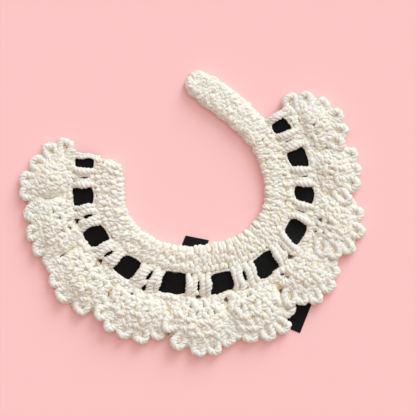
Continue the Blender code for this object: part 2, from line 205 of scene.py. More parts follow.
class CollarStage(PropertyGroup):
    """The camera's place in metres and the lights' strengths."""

    camera_height: FloatProperty(name="Camera height", description="Height of the lens", default=0.9)
    view_width: FloatProperty(name="View width", description="Width of surface in view", default=0.2496)
    view_x: FloatProperty(name="View X", description="Middle of the view", default=0.0096)
    view_y: FloatProperty(name="View Y", description="Middle of the view", default=0.0042)
    key: FloatProperty(name="Key light", description="The soft light from the upper right", default=1.7)
    top: FloatProperty(name="Top light", description="The wide soft light overhead", default=0.95)
    fill: FloatProperty(name="Fill light", description="The light from all round", default=0.5)


def curve_at(places, values, at):
    """Reads a smooth curve through (place, value) pairs, whose slope at each is that of its neighbours."""
    places = np.asarray(places, float)
    values = np.asarray(values, float)
    at = np.asarray(at, float)
    slopes = np.gradient(values, places, axis=0)
    i = np.clip(np.searchsorted(places, at) - 1, 0, len(places) - 2)
    span = places[i + 1] - places[i]
    t = (at - places[i]) / span
    if values.ndim > 1:
        t = t[..., None]
        span = span[..., None]
    return (
        (2 * t**3 - 3 * t**2 + 1) * values[i]
        + (t**3 - 2 * t**2 + t) * span * slopes[i]
        + (3 * t**2 - 2 * t**3) * values[i + 1]
        + (t**3 - t**2) * span * slopes[i + 1]
    )


def lengths_along(points):
    """The distance along each line from its first point to each of its points."""
    steps = np.linalg.norm(np.diff(points, axis=-2), axis=-1)
    return np.concatenate([np.zeros((*steps.shape[:-1], 1)), np.cumsum(steps, axis=-1)], axis=-1)


def read(at, places, values):
    """Linear reading of a table whose values are points."""
    return np.stack([np.interp(at, places, values[:, k]) for k in range(values.shape[1])], axis=-1)


def even_line(points, step):
    """Evenly spaced points on a smooth curve through these, about one step apart."""
    points = np.asarray(points, float)
    knots = lengths_along(points)
    fine = curve_at(knots, points, np.linspace(0, knots[-1], 40 * len(points)))
    along = lengths_along(fine)
    places = np.linspace(0, along[-1], max(2, round(along[-1] / step)) + 1)
    return read(places, along, fine)


def raised(plan, height):
    """Points in space over points in plan."""
    height = np.broadcast_to(height, plan.shape[:-1])
    return np.concatenate([plan, height[..., None]], axis=-1)


def nearest(points, places):
    """The number of the point nearest to each place."""
    return np.linalg.norm(points - places[..., None, :], axis=-1).argmin(axis=-1)


def unit(vectors):
    return vectors / np.maximum(np.linalg.norm(vectors, axis=-1, keepdims=True), 1e-9)


def by_turns(count, first, second):
    """One of two values for each of a number of stitches, first, second, first and so on."""
    return np.where(np.arange(count) % 2, second, first)


def middles_of(start, stop, count):
    """The middles of this many equal stretches."""
    return start + (np.arange(count) + 0.5) * (stop - start) / count


def compass(angle):
    """The direction in plan at an angle."""
    return np.stack([np.cos(np.radians(angle)), np.sin(np.radians(angle))], axis=-1)


def turned(direction):
    """A direction in plan, turned a quarter counter-clockwise."""
    return np.stack([-direction[..., 1], direction[..., 0]], axis=-1)


# Fine tables of the neck edge, a little past both of its ends: points, directions outward, and the lengths
# along the line through the eyelets' middles.
NECK_ANGLES = np.arange(NECK_EDGE[0][0] - 6.0, NECK_EDGE[-1][0] + 6.0, 0.25)
NECK_RADII = curve_at(*zip(*NECK_EDGE), NECK_ANGLES)
NECK_POINTS = NECK_CENTRE + NECK_RADII[:, None] * compass(NECK_ANGLES)
NECK_SLOPES = np.gradient(NECK_RADII, np.radians(NECK_ANGLES))[:, None]
NECK_OUTWARD = unit(NECK_RADII[:, None] * compass(NECK_ANGLES) - NECK_SLOPES * compass(NECK_ANGLES + 90))
EYELET_LENGTHS = lengths_along(NECK_POINTS + RIBBON_MIDDLE * NECK_OUTWARD)


def out_of_neck(angle):
    return read(angle, NECK_ANGLES, NECK_OUTWARD)


def from_neck(angle, outward):
    """The point this far outward from the neck edge's point at this angle."""
    outward = np.asarray(outward, float)[..., None]
    return read(angle, NECK_ANGLES, NECK_POINTS) + outward * out_of_neck(angle)


def eyelet_length(angle):
    return np.interp(angle, NECK_ANGLES, EYELET_LENGTHS)


def eyelet_angle(length):
    return np.interp(length, EYELET_LENGTHS, NECK_ANGLES)


END_CORNER = 5.5  # the radius of the round corner that the band's square end has at the neck edge
YARN_IN_CORNER = 1.6  # how far inside that corner the yarn's middle stays
CORE_IN_CORNER = 1.0

# How far stitches stray from their rows, in long waves over the whole collar and in short ones over them.
LONG_DRIFT = 0.22
SHORT_DRIFT = 0.09

# Where small holes stay open between the posts' ends and the shells.
HOLES = (
    # x, y
    (-54.9, -28.5),
    (-28.0, -43.6),
    (4.2, -49.6),
    (20.6, -50.9),
    (-68.9, -4.4),
    (59.6, -25.2),
    (55.6, -36.3),
)
HOLE_CLEAR = 2.2  # how near a hole's middle the middle of a strand comes
HOLE_REACH = 5.6  # how far from it strands are pushed aside


def round_end(plan, inside):
    """Keeps points in plan this far inside the round corner of the band's square end."""
    toward_neck = -out_of_neck(NECK_EDGE[0][0])
    axes = np.array([toward_neck, turned(toward_neck)])
    centre = from_neck(NECK_EDGE[0][0], 0.0) - END_CORNER * axes.sum(axis=0)
    local = (plan - centre) @ axes.T
    far = np.linalg.norm(local, axis=-1)
    beyond = (local > 0).all(axis=-1) & (far > END_CORNER - inside) & (far < 2.0 * END_CORNER)
    return np.where(beyond[..., None], centre + local @ axes * ((END_CORNER - inside) / far)[..., None], plan)


def wander(points):
    """Moves points a little in plan, neighbours alike, and keeps the small holes and the round corner."""
    x, y, z = np.moveaxis(points, -1, 0)
    moved = points.copy()
    long_x = np.sin(0.61 * y + 0.9 * np.sin(0.23 * x) + 0.3 * z)
    long_y = np.sin(0.67 * x + 0.9 * np.sin(0.27 * y) - 0.3 * z)
    moved[..., 0] += LONG_DRIFT * long_x + SHORT_DRIFT * np.sin(1.13 * x + 0.83 * y)
    moved[..., 1] += LONG_DRIFT * long_y + SHORT_DRIFT * np.sin(0.91 * x - 1.21 * y)
    for centre in HOLES:
        away = moved[..., :2] - centre
        far = np.linalg.norm(away, axis=-1, keepdims=True)
        pushed = HOLE_CLEAR + far * (1 - HOLE_CLEAR / HOLE_REACH)
        aside = centre + away / np.maximum(far, 1e-6) * pushed
        moved[..., :2] = np.where(far < HOLE_REACH, aside, moved[..., :2])
    moved[..., :2] = round_end(moved[..., :2], YARN_IN_CORNER)
    return moved


def make_mesh(name, points, corners, totals):
    """A mesh from points in millimetres, all faces' corners in a row, and each face's corner count."""
    mesh = bpy.data.meshes.new(name)
    mesh.vertices.add(len(points))
    mesh.vertices.foreach_set("co", (points * MM).astype(np.float32).ravel())
    mesh.loops.add(len(corners))
    mesh.loops.foreach_set("vertex_index", corners.astype(np.int32))
    mesh.polygons.add(len(totals))
    starts = np.concatenate([[0], np.cumsum(totals)[:-1]])
    mesh.polygons.foreach_set("loop_start", starts.astype(np.int32))
    mesh.polygons.foreach_set("loop_total", totals.astype(np.int32))
    mesh.update(calc_edges=True)
    mesh.validate()
    mesh.shade_smooth()
    return mesh


def add_map(mesh, label, places):
    layer = mesh.uv_layers.new(name=label)
    layer.data.foreach_set("uv", places.astype(np.float32).ravel())


def add_values(mesh, label, values):
    attribute = mesh.attributes.new(label, "FLOAT", "POINT")
    attribute.data.foreach_set("value", values.astype(np.float32))


def put_in_scene(name, data, material=None):
    """An object for a mesh with its material, or for a camera or a lamp."""
    obj = bpy.data.objects.new(name, data)
    bpy.context.scene.collection.objects.link(obj)
    if material:
        data.materials.append(material)
    return obj


def frames_along(centres):
    """The run of each line at each station and two directions across it that don't twist along it."""
    run = unit(np.gradient(centres, axis=1))
    side = np.empty_like(run)
    flat = np.cross(run[:, 0], (0.0, 0.0, 1.0))
    steep = np.linalg.norm(flat, axis=1) < 0.05
    flat[steep] = np.cross(run[steep, 0], (1.0, 0.0, 0.0))
    side[:, 0] = unit(flat)
    for k in range(1, run.shape[1]):
        before = side[:, k - 1]
        side[:, k] = unit(before - (before * run[:, k]).sum(axis=1, keepdims=True) * run[:, k])
    return run, side, np.cross(run, side)


def tube_faces(index):
    """Corners and corner counts of the faces round and at the ends of tubes: tubes x stations x sides."""
    after = np.roll(index, -1, axis=2)
    quads = np.stack([index[:, :-1], after[:, :-1], after[:, 1:], index[:, 1:]], axis=-1)
    corners = np.concatenate([quads.reshape(-1), index[:, 0, ::-1].reshape(-1), index[:, -1].reshape(-1)])
    totals = np.concatenate([np.full(quads.size // 4, 4), np.full(2 * len(index), index.shape[2])])
    return corners, totals


def tube_map(along, sides):
    """The same corners' places on a map, along a tube and round it, with none for its ends."""
    u = np.broadcast_to(along[..., None], (*along.shape, sides))
    v = np.broadcast_to(np.arange(sides) / sides, u.shape)
    after = v + 1.0 / sides
    quad_u = np.stack([u[:, :-1], u[:, :-1], u[:, 1:], u[:, 1:]], axis=-1).reshape(-1)
    quad_v = np.stack([v[:, :-1], after[:, :-1], after[:, 1:], v[:, 1:]], axis=-1).reshape(-1)
    return np.concatenate([np.column_stack([quad_u, quad_v]), np.zeros((2 * len(along) * sides, 2))])


SIDES_PER_PLY = 4
PLY_DEPTH = 0.12  # how far the plies stand out and the grooves between them lie in, as a share of the radius
FUZZ = 0.035  # how far the skin of loose fibres strays, as a share of the radius
FLAT_UNDERSIDE = 0.02  # the height that the yarn is pressed flat at by the surface

# How much painted shade a strand's skin gets, from how much it faces up: none at UNDER_FROM and above, and
# growing over UNDER_OVER to UNDER_MOST on its underside.
UNDER_FROM = 0.9
UNDER_OVER = 2.4
UNDER_CURVE = 1.3
UNDER_MOST = 0.5


class Yarn:
    """Gathers strands, and makes one mesh of them all."""

    def __init__(self, sizes):
        self.sizes = sizes
        self.sides = SIDES_PER_PLY * sizes.plies
        self.batches = []

    def add(self, centres, radii, depth=0.0):
        """A strand or several: centres strands x stations x 3, radii and depth strands x stations; depth is
        painted shade.
        """
        centres = wander(np.array(centres, float, ndmin=3))
        radii, depth = (np.broadcast_to(values, centres.shape[:2]) for values in (radii, depth))
        self.batches.append((centres, radii, depth))

    def rings(self, centres, radii, depth, rng):
        """Each strand's rings, which turn with its plies, the length along it and the painted shade of each
        point.
        """
        _, side, other = frames_along(centres)
        along = lengths_along(centres)
        turn = 2 * math.pi * (along / self.sizes.lay + rng.random((len(centres), 1)))
        around = 2 * math.pi * np.arange(self.sides) / self.sides
        angle = turn[..., None] + around
        ply = 1 + PLY_DEPTH * np.cos(self.sizes.plies * around)
        rough = 1 + FUZZ * np.clip(rng.normal(0, 1, angle.shape), -2, 2)
        reach = (radii[..., None] * ply * rough)[..., None]
        offset = np.cos(angle)[..., None] * side[:, :, None] + np.sin(angle)[..., None] * other[:, :, None]
        points = centres[:, :, None] + reach * offset
        points[..., 2] = np.maximum(points[..., 2], FLAT_UNDERSIDE)
        # Painted shade where the skin faces down.
        under = np.clip((UNDER_FROM - offset[..., 2]) / UNDER_OVER, 0, 1) ** UNDER_CURVE
        return points, along, np.maximum(np.minimum(under, UNDER_MOST), depth[..., None])

    def mesh(self, name, material):
        """One mesh of all strands, with their map, each point's painted shade and a tone for each strand."""
        rng = np.random.default_rng(SEED)
        made = []
        start = 0
        for centres, radii, depth in self.batches:
            points, along, depths = self.rings(centres, radii, depth, rng)
            index = start + np.arange(depths.size).reshape(depths.shape)
            places = tube_map(along / self.sizes.lay, self.sides)
            tones = np.repeat(rng.random(len(centres)), index[0].size)
            made.append((points.reshape(-1, 3), *tube_faces(index), places, depths.reshape(-1), tones))
            start += index.size
        *geometry, places, depths, tones = (np.concatenate(column) for column in zip(*made))
        mesh = make_mesh(name, *geometry)
        add_map(mesh, "yarn", places)
        add_values(mesh, "depth", depths)
        add_values(mesh, "tone", tones)
        return put_in_scene(name, mesh, material)


# A core's painted shade grows with its height, within these limits, so that its edge near the surface is
# painted light.
CORE_SHADE_LIMITS = (0.25, 0.45)
CORE_SHADE_PER_MM = 0.25
CORE_FLAT = 0.05  # points this low are on the underside
CORE_LOWEST = 0.1  # as low as other points may come


def welded_solid(node_name):
    """A solid's points, each once and in millimetres, and its triangles' corners."""
    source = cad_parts[node_name].data
    points = np.empty(len(source.vertices) * 3)
    source.vertices.foreach_get("co", points)
    points = points.reshape(-1, 3) / MM
    _, first, inverse = np.unique(np.round(points, 3), axis=0, return_index=True, return_inverse=True)
    corners = np.empty(len(source.loops), int)
    source.loops.foreach_get("vertex_index", corners)
    corners = inverse.reshape(-1)[corners].reshape(-1, 3)
    whole = (corners != np.roll(corners, 1, axis=1)).all(axis=1)
    return points[first], corners[whole]


def core_of(node_name, inset, lower, material):
    """A closed body in a solid's form, drawn in and lowered this far, that fills the gaps under the yarn,
    with painted shade.
    """
    points, corners = welded_solid(node_name)
    a, b, c = (points[corners[:, k]] for k in range(3))
    normals = np.zeros_like(points)
    for k in range(3):
        np.add.at(normals, corners[:, k], np.cross(b - a, c - a))
    points[:, :2] = round_end(points[:, :2] - inset * unit(normals)[:, :2], CORE_IN_CORNER)
    lowered = np.maximum(points[:, 2] - lower, CORE_LOWEST)
    points[:, 2] = np.where(points[:, 2] < CORE_FLAT, 0.0, lowered)
    name = f"{node_name}_core"
    mesh = make_mesh(name, points, corners.ravel(), np.full(len(corners), 3))
    add_values(mesh, "depth", np.clip(points[:, 2] * CORE_SHADE_PER_MM, *CORE_SHADE_LIMITS))
    return put_in_scene(name, mesh, material)


def stand_out(surface, u, v, lift, step):
    """Points this far above a surface, whose function gives a point for each u and v, with v x u as up."""
    along_u = surface(u + step, v) - surface(u - step, v)
    along_v = surface(u, v + step) - surface(u, v - step)
    outward = unit(np.cross(along_v, along_u))
    return surface(u, v) + np.asarray(lift)[..., None] * outward


def both_ends(middles, half, stray, rng):
    """The starts and the ends of legs that reach this far to either side of their middles, or nearly so."""
    return (middles + sign * half + rng.normal(0, 1, half.shape) * stray for sign in (-1, 1))


LEG_RISE_STRAYS = 0.28
LEG_TILT_STRAYS = 0.25
LEG_THINNER = 0.28  # how much thinner a leg is at its ends, as a share
LEG_THICKNESS = (0.88, 1.12)  # from the thinnest leg to the thickest, as shares of the usual
LEG_ENDS_SHADE = 0.9  # painted shade on a leg's ends, where they dive between stitches


def lay_legs(yarn, surface, starts, ends, thickness, rng, arch, dive, stations=9, leg_shade=0.0):
    """Lays one leg of a stitch from each start to each end on a surface: it arches up and dives at its ends.

    leg_shade is the painted shade that a whole leg gets where it lies deep between others, from 0 to 1.
    """
    count = len(starts)
    t = np.linspace(0, 1, stations)
    hump = np.sin(math.pi * t) ** 0.7
    places = starts[:, None] + (ends - starts)[:, None] * t[None, :, None]
    rise = (arch + rng.normal(0, LEG_RISE_STRAYS, count))[:, None]
    tilt = rng.normal(0, LEG_TILT_STRAYS, count)[:, None] * (2 * t - 1)
    lift = rise * hump - dive * (1 - hump) + tilt
    centres = stand_out(surface, places[..., 0], places[..., 1], lift, 0.01)
    taper = (1 - LEG_THINNER) + LEG_THINNER * hump
    radii = (thickness / 2 * rng.uniform(*LEG_THICKNESS, count))[:, None] * taper
    # Painted shade, most at the leg's ends where they dive.
    depth = LEG_ENDS_SHADE * (1 - hump) ** 1.2
    yarn.add(centres, radii, np.maximum(depth, np.broadcast_to(leg_shade, count)[:, None]))


def lay_rope(yarn, plan, height, step, twist_radius, thickness, pitch):
    """Two strands twisted about a line this high, as a chain of loops looks from outside."""
    path = even_line(raised(plan, height), step)
    along = lengths_along(path)
    _, side, other = frames_along(path[None])
    for ahead in (0.0, 0.5):
        angle = 2 * math.pi * (along / pitch + ahead)
        twist = np.cos(angle)[:, None] * side[0] + np.sin(angle)[:, None] * other[0]
        ends = np.minimum(along, along[-1] - along) / thickness
        radii = thickness / 2 * (0.5 + 0.5 * np.clip(ends, 0, 1) ** 0.5)
        yarn.add(path + twist_radius * twist, radii)


def lay_chain(yarn, path, thickness, pitch, sway, rng):
    """Stout legs one after another along a line in space, which cross it from side to side by turns."""
    along = lengths_along(path)
    count = max(3, round(along[-1] / pitch))
    t = np.linspace(-0.5, 0.5, 11)
    hump = np.cos(math.pi * t) ** 0.7
    middles = middles_of(0, along[-1], count) + rng.normal(0, 0.08 * pitch, count)
    places = np.clip(middles[:, None] + 1.9 * pitch * t, 0, along[-1])
    run = unit(np.gradient(path, axis=0))
    side = unit(raised(turned(run), 0.0))
    sign = by_turns(count, -1.0, 1.0) * rng.uniform(0.6, 1.2, count)
    swing = 2 * sway * sign[:, None] * t
    centres = read(places, along, path) + swing[..., None] * read(places, along, side)
    centres[..., 2] += 0.3 * hump - 0.2 + rng.normal(0, 0.12, count)[:, None]
    radii = thickness / 2 * (0.78 + 0.22 * hump) * rng.uniform(0.94, 1.06, count)[:, None]
    # Painted shade at each leg's ends.
    yarn.add(centres, radii, 0.2 * (1 - hump) ** 1.5)


# The band's centre line, from its square end at the upper left round to the strap's tip.
STRAP_TIP = STRAP_LINE[-1, :2] + STRAP_LINE[-1, 2] / 2 * unit(STRAP_LINE[-1, :2] - STRAP_LINE[-2, :2])
BAND_KNOTS = [from_neck(angle, BAND_WIDTH / 2) for angle, _ in NECK_EDGE]
BAND_LINE = even_line([*BAND_KNOTS, *STRAP_LINE[:, :2], STRAP_TIP], 0.5)
BAND_LENGTHS = lengths_along(BAND_LINE)
BAND_END = BAND_LENGTHS[-1]
BAND_RUN = unit(np.gradient(BAND_LINE, axis=0))
BAND_OUTWARD = -turned(BAND_RUN)

# The strap's half widths, and how far back from the very tip each of them is.
STRAP_PLACES = lengths_along(np.array([STRAP_TIP, *STRAP_LINE[::-1, :2], BAND_KNOTS[-1]]))[1:]
STRAP_HALVES = np.append(STRAP_LINE[::-1, 2], BAND_WIDTH) / 2
TIP_HEIGHT = 0.45  # how much of its height the strap keeps at the very tip

# The line that the yarn's middle follows over the band from its neck side to its eyelet side.
BAND_PROFILE = (
    # across, height
    (-6.8, 1.4),
    (-7.0, 3.0),
    (-6.4, 4.6),
    (-4.6, 5.5),
    (-1.6, 5.4),
    (1.6, 5.1),
    (4.6, 4.9),
    (6.2, 4.2),
    (6.8, 2.9),
    (6.7, 1.4),
)
BAND_OVER = even_line(BAND_PROFILE, 0.25)
BAND_OVER_LENGTHS = lengths_along(BAND_OVER)
BAND_OVER_END = BAND_OVER_LENGTHS[-1]
BAND_TOP = (BAND_OVER[:, 1] > 2.5).nonzero()[0]  # the points of that line on the band's upper side

# How wide the band's stitches are, as a share of the usual: looser at the start, tighter toward the strap.
BAND_TENSION = (
    # angle, share
    (170, 1.15),
    (215, 1.06),
    (270, 0.98),
    (320, 0.88),
    (395, 0.86),
)

# The neck edge's angle next to every eighth point of the band's centre line.
COARSE_LENGTHS = BAND_LENGTHS[::8]
COARSE_ANGLES = NECK_ANGLES[nearest(from_neck(NECK_ANGLES, BAND_WIDTH / 2), BAND_LINE[::8])]

# Where the strap's finer stitches take over, as an angle and as a length along the band.
STRAP_STITCHES_ANGLE = 393.0
STRAP_STITCHES_FROM = BAND_LENGTHS[nearest(BAND_LINE, from_neck(STRAP_STITCHES_ANGLE, BAND_WIDTH / 2))]

# The rolled row starts at the neck side's foot and ends this far across the band, its legs leaning by turns.
EDGE_ROW_END = -2.6
EDGE_ROW_LEAN = (1.3, 0.0)
SHORT_ROWS = (
    # across from, to, spread of a pair's legs, arch, shift in stitches
    (-3.8, 0.2, 0.75, 0.15, 0.5),
    (-0.6, 3.0, -0.75, 0.1, 0.0),
    (2.4, 4.8, 0.6, 0.0, 0.5),
)
BAND_DIVE = 0.7  # how far the band's legs dive at their ends

STRAP_ROW_SPACING = 0.86  # this and the next four are shares of the strap's stitch
STRAP_LEG_HALF = 0.6
STRAP_LEG_LEAN = 0.75
STRAP_LEG_THICKNESS = 1.5
STRAP_ROW_SHIFT = 0.5


def over_at(across):
    """How far along the line over the band a distance across it is, on its upper side."""
    return np.interp(across, BAND_OVER[BAND_TOP, 0], BAND_OVER_LENGTHS[BAND_TOP])


def band_half(length):
    """The band's half width at a length along it, down the strap to its round tip."""
    to_tip = np.maximum(BAND_END - length, 0.0)
    half = np.interp(to_tip, STRAP_PLACES, STRAP_HALVES)
    near = np.minimum(to_tip / STRAP_HALVES[0], 1.0)
    return half * np.sqrt(np.maximum(1 - (1 - near) ** 2, 0.02))


def from_band(length, outward):
    """The point this far outward from the band's centre line at a length along it."""
    line = read(length, BAND_LENGTHS, BAND_LINE)
    return line + read(length, BAND_LENGTHS, BAND_OUTWARD) * outward[..., None]


def band_surface(length, over):
    """The point over the band at a length along it and a length over it."""
    length = np.clip(length, 0.0, BAND_END)
    profile = read(over, BAND_OVER_LENGTHS, BAND_OVER)
    share = band_half(length) / (BAND_WIDTH / 2)
    lower = TIP_HEIGHT + (1 - TIP_HEIGHT) * np.minimum(share, 1.0)
    return raised(from_band(length, profile[..., 0] * share), profile[..., 1] * lower)


def tension(length):
    """How wide the stitches are worked at a length along the band."""
    return np.interp(np.interp(length, COARSE_LENGTHS, COARSE_ANGLES), *zip(*BAND_TENSION))


def stitch_places(start, stop, pitch):
    """The middles of an even number of stitches between two lengths, as wide as the tension has them."""
    fine = np.linspace(start, stop, 400)
    made = np.concatenate([[0], np.cumsum(np.diff(fine) / (pitch * tension((fine[1:] + fine[:-1]) / 2)))])
    count = int(made[-1] / 2) * 2
    return np.interp(middles_of(0, made[-1], count), made, fine)


def work_edge_row(yarn, sizes, rng):
    """The rolled row: legs that come up over the neck edge and lie across it, leaning by turns."""
    places = stitch_places(0.0, STRAP_STITCHES_FROM, sizes.stitch)
    count = len(places)
    stray = sizes.unevenness * sizes.stitch
    starts = np.column_stack([places + rng.normal(0, stray, count), np.zeros(count)])
    high = over_at(EDGE_ROW_END) + rng.normal(0, 1.6 * stray, count)
    places_high = places + by_turns(count, *EDGE_ROW_LEAN) + rng.normal(0, stray, count)
    ends = np.column_stack([places_high, high])
    lay_legs(yarn, band_surface, starts, ends, sizes.yarn * tension(places), rng, 0.0, BAND_DIVE, 14)


def paired_legs(places, spread, near, near_stray, far, far_stray, stray, rng):
    """The starts and the ends of legs that lean together in pairs, between two distances across a row."""
    count = len(places)
    lean = by_turns(count, spread, -spread)
    near = near + rng.normal(0, near_stray, count)
    far = far + rng.normal(0, far_stray, count)
    starts = np.column_stack([places - lean + rng.normal(0, stray, count), near])
    return starts, np.column_stack([places + lean + rng.normal(0, stray, count), far])


def work_short_row(yarn, sizes, rng, low, high, spread, arch, shift):
    """A row of paired legs between two distances across the band."""
    places = stitch_places(shift * sizes.stitch, STRAP_STITCHES_FROM, sizes.stitch)
    stray = sizes.unevenness * sizes.stitch
    low, high = over_at(low) - 0.6, over_at(high) + 0.6
    starts, ends = paired_legs(places, spread, low, 2 * stray, high, 2 * stray, stray, rng)
    lay_legs(yarn, band_surface, starts, ends, sizes.yarn * tension(places), rng, arch, BAND_DIVE, 11)


def work_strap(yarn, sizes, rng):
    """The strap's short stitches, in rows along it that are staggered by half a stitch."""
    start = STRAP_STITCHES_FROM - sizes.strap_stitch
    last = BAND_END - 0.9
    rows = int(BAND_OVER_END / (STRAP_ROW_SPACING * sizes.strap_stitch))
    count = int((last - start) / sizes.strap_stitch)
    step = (last - start) / count
    for row in range(rows + 1):
        places = start + (np.arange(count + 1) + STRAP_ROW_SHIFT * (row % 2)) * step
        middles = raised(places[:, None], row * BAND_OVER_END / rows)
        lean = by_turns(count + 1, -STRAP_LEG_LEAN, STRAP_LEG_LEAN) * (-1) ** row
        half = np.column_stack([np.full(count + 1, STRAP_LEG_HALF), lean]) * step
        starts, ends = both_ends(middles, half, sizes.unevenness * sizes.strap_stitch, rng)
        for legs in (starts, ends):
            legs[:, 1] = np.clip(legs[:, 1], 0, BAND_OVER_END)
        ends[:, 0] = np.minimum(ends[:, 0], BAND_END - 0.2)
        lay_legs(yarn, band_surface, starts, ends, STRAP_LEG_THICKNESS * step, rng, 0.05, 0.4)


def hem_strap_tip(yarn, sizes):
    """The strands that turn round the strap's tip, from one of its sides to the other."""
    turn = np.linspace(-1, 1, 41)
    away = STRAP_HALVES[0] * (1 - np.sqrt(np.maximum(1 - turn**2, 0)))
    for height, room in ((1.5, 1.3), (3.3, 1.9)):
        plan = from_band(BAND_END - room - away, (STRAP_HALVES[0] - room) * turn)
        lay_rope(yarn, plan, height, 0.7, 0.6, sizes.yarn * 0.8, 6.5)


def hem_square_end(yarn, sizes):
    """The strands along the band's square end."""
    over = over_at(np.linspace(-6.2, 6.2, 9))
    plan = band_surface(np.full(len(over), 0.2), over)[:, :2]
    for height in (1.5, 3.6):
        lay_rope(yarn, plan, height, 0.8, 0.8, sizes.yarn * 0.9, 7.5)


# The line that the yarn's middle follows across the eyelet row where it lies over the ribbon.
ROW_PROFILE = (
    # outward, height
    (13.0, 5.0),
    (16.0, 4.9),
    (18.0, 4.6),
    (23.0, 5.0),
    (28.0, 4.6),
    (31.0, 4.5),
    (33.5, 4.2),
)
ROW_ANGLES = (169.0, 395.5)  # where the stitches along the windows start and stop
RAIL_ANGLES = (167.5, 396.5)
THIN_SHARE = 0.5  # a thin strand's width along a window, as a share of the yarn's
THIN_PAST_CORNER = 1.4  # how far it runs on past the window's corners
NECK_SIDE_DEPTH = 5.2  # how far behind the windows' edges the stitches along them reach, on either side
SHELL_SIDE_DEPTH = 4.6

POST_STARTS = 14.4
POST_MIDDLE = 23.2
POST_ENDS = 32.0
POST_STRAIGHT = (15.5, 31.5)  # from where to where outward a post's sides lean
POST_HOLE = 31.4  # where outward the small hole between two posts is
POST_HOLE_HALF = 1.4  # half of its length
POST_TOP = 5.3  # the height of the yarn's middle where a post passes over the ribbon
END_POST_TOP = 5.0
UNDER_POST_TOP = 0.8
UNDER_POST_HALF = 2.4
SHORTEST_CLOSING = 1.2  # a shorter end of a slit is left as it is
LUMPY_BELOW = 1.5  # posts with a narrower slit between them are lumpy

# A post is a stout strand along its outer side and a slim one, lower by the drop, along its inner side. The
# stout strand takes its share of the post's width up to the most, and the slim one no less than SLIMMEST.
PostKind = namedtuple("PostKind", "share most drop")
EVEN_POST = PostKind(0.68, 3.5, 0.3)
LUMPY_POST = PostKind(0.84, 4.2, 0.9)
SLIMMEST = 1.9


def row_surface(along, outward):
    """The point over the eyelet row at a length along it and a distance outward from the neck edge."""
    return raised(from_neck(eyelet_angle(along), outward), np.interp(outward, *zip(*ROW_PROFILE)))


def window_edge(side, angle):
    """How far outward the windows' edges on the neck or the shell side are, read between the windows too."""
    edges = sorted((window.angle, getattr(window, f"{side}_edge")) for window in WINDOWS)
    return np.interp(angle, *zip(*edges))


def add_on_row(yarn, along, outward, height, radii, depth=0.0):
    """A strand at lengths along the eyelet row, distances outward and heights."""
    yarn.add(raised(from_neck(eyelet_angle(along), outward), height), radii, depth)


def work_window_edge(yarn, sizes, rng, side, depth):
    """The windows' neck or shell side: a row of leaning legs behind it and a thin strand along each."""
    behind = -1.0 if side == "neck" else 1.0
    start, stop = eyelet_length(np.array(ROW_ANGLES))
    count = int((stop - start) / sizes.stitch / 2) * 2
    places = middles_of(start, stop, count)
    edge = window_edge(side, eyelet_angle(places))
    stray = sizes.unevenness * sizes.stitch
    near, far = edge + behind * 1.6, edge + behind * depth
    starts, ends = paired_legs(places, 0.7, near, 0.5 * stray, far, stray, stray, rng)
    lay_legs(yarn, row_surface, starts, ends, 0.9 * sizes.yarn, rng, 0.0, 0.5)
    thin = THIN_SHARE * sizes.yarn
    t = np.linspace(0, 1, 15)
    bow = 0.9 * np.minimum(2.5 * np.abs(t - 0.5), 1.0) ** 3 - 0.3
    for number, window in enumerate(WINDOWS):
        low, high, edge = (getattr(window, f"{side}_{word}") for word in ("from", "to", "edge"))
        along = eyelet_length(window.angle) + low - THIN_PAST_CORNER + (high - low + 2 * THIN_PAST_CORNER) * t
        outward = edge + behind * (thin / 2 - bow) + 0.12 * np.sin(9 * t + number)
        height = row_surface(along, outward)[:, 2] - 0.3 + 0.3 * np.sin(math.pi * t)
        add_on_row(yarn, along, outward, height, thin / 2)


def slit_width(slit, outward):
    """How far the two posts of a pair stand apart, at these distances outward."""
    lens = np.maximum(1 - (2 * (outward - slit.middle) / slit.length) ** 2, 0)
    hole = np.maximum(1 - ((outward - POST_HOLE) / POST_HOLE_HALF) ** 2, 0)
    return slit.widest * lens**0.5 + slit.hole * hole


def work_post(yarn, outer, inner, rng, top, flare, kind):
    """A tall stitch across the ribbon, between two sides that are functions of the distance outward.

    flare is how far the stout strand leans out into the window's corners.
    """
    outward = np.linspace(POST_STARTS, POST_ENDS, 29)
    t = np.linspace(0, 1, len(outward))
    out, into = outer(outward), inner(outward)
    room = np.abs(into - out)
    sign = np.sign((into - out).mean())
    stout = min(kind.share * room.mean(), kind.most)
    ends = np.abs(2 * t - 1) ** 2
    corner = np.clip((np.abs(outward - POST_MIDDLE) - 3.4) / 2.4, 0, 1) ** 1.5
    wobble = 0.18 * np.sin(rng.uniform(4, 8) * t + rng.uniform(0, 6.3))
    along = out + sign * (stout / 2 - flare * corner) + wobble
    lift = 0.5 * np.sin(math.pi * t) - 2.2 * ends
    radii = stout / 2 * (1 - 0.12 * np.cos(2 * math.pi * (1.5 * t + rng.random())) - 0.15 * ends)
    # Painted shade at the post's ends.
    depth = 0.3 * ends**3
    add_on_row(yarn, along, outward, top + lift, radii, depth)
    slim = max(room.mean() - 0.7 * stout, SLIMMEST)
    along = into - sign * slim / 2 - 0.5 * wobble
    add_on_row(yarn, along, outward, top - kind.drop + lift, slim / 2, depth)


def close_slit(yarn, line, slit, rng):
    """The stitches' heads and feet that close the two ends of the slit between a pair of posts."""
    first = (POST_STARTS, slit.middle - slit.length / 2)
    second = (slit.middle + slit.length / 2, POST_HOLE - 0.8 * slit.hole)
    t = np.linspace(0, 1, 9)
    for start, stop in (first, second):
        if stop - start < SHORTEST_CLOSING:
            continue
        outward = start + (stop - start) * t
        along = line(outward) + rng.normal(0, 0.5) * (t - 0.5)
        height = POST_TOP - 0.35 - 1.2 * (2 * t - 1) ** 4
        radii = 1.35 * (0.8 + 0.2 * np.sin(math.pi * t))
        # A little painted shade on these strands.
        add_on_row(yarn, along, outward, height, radii, 0.15)


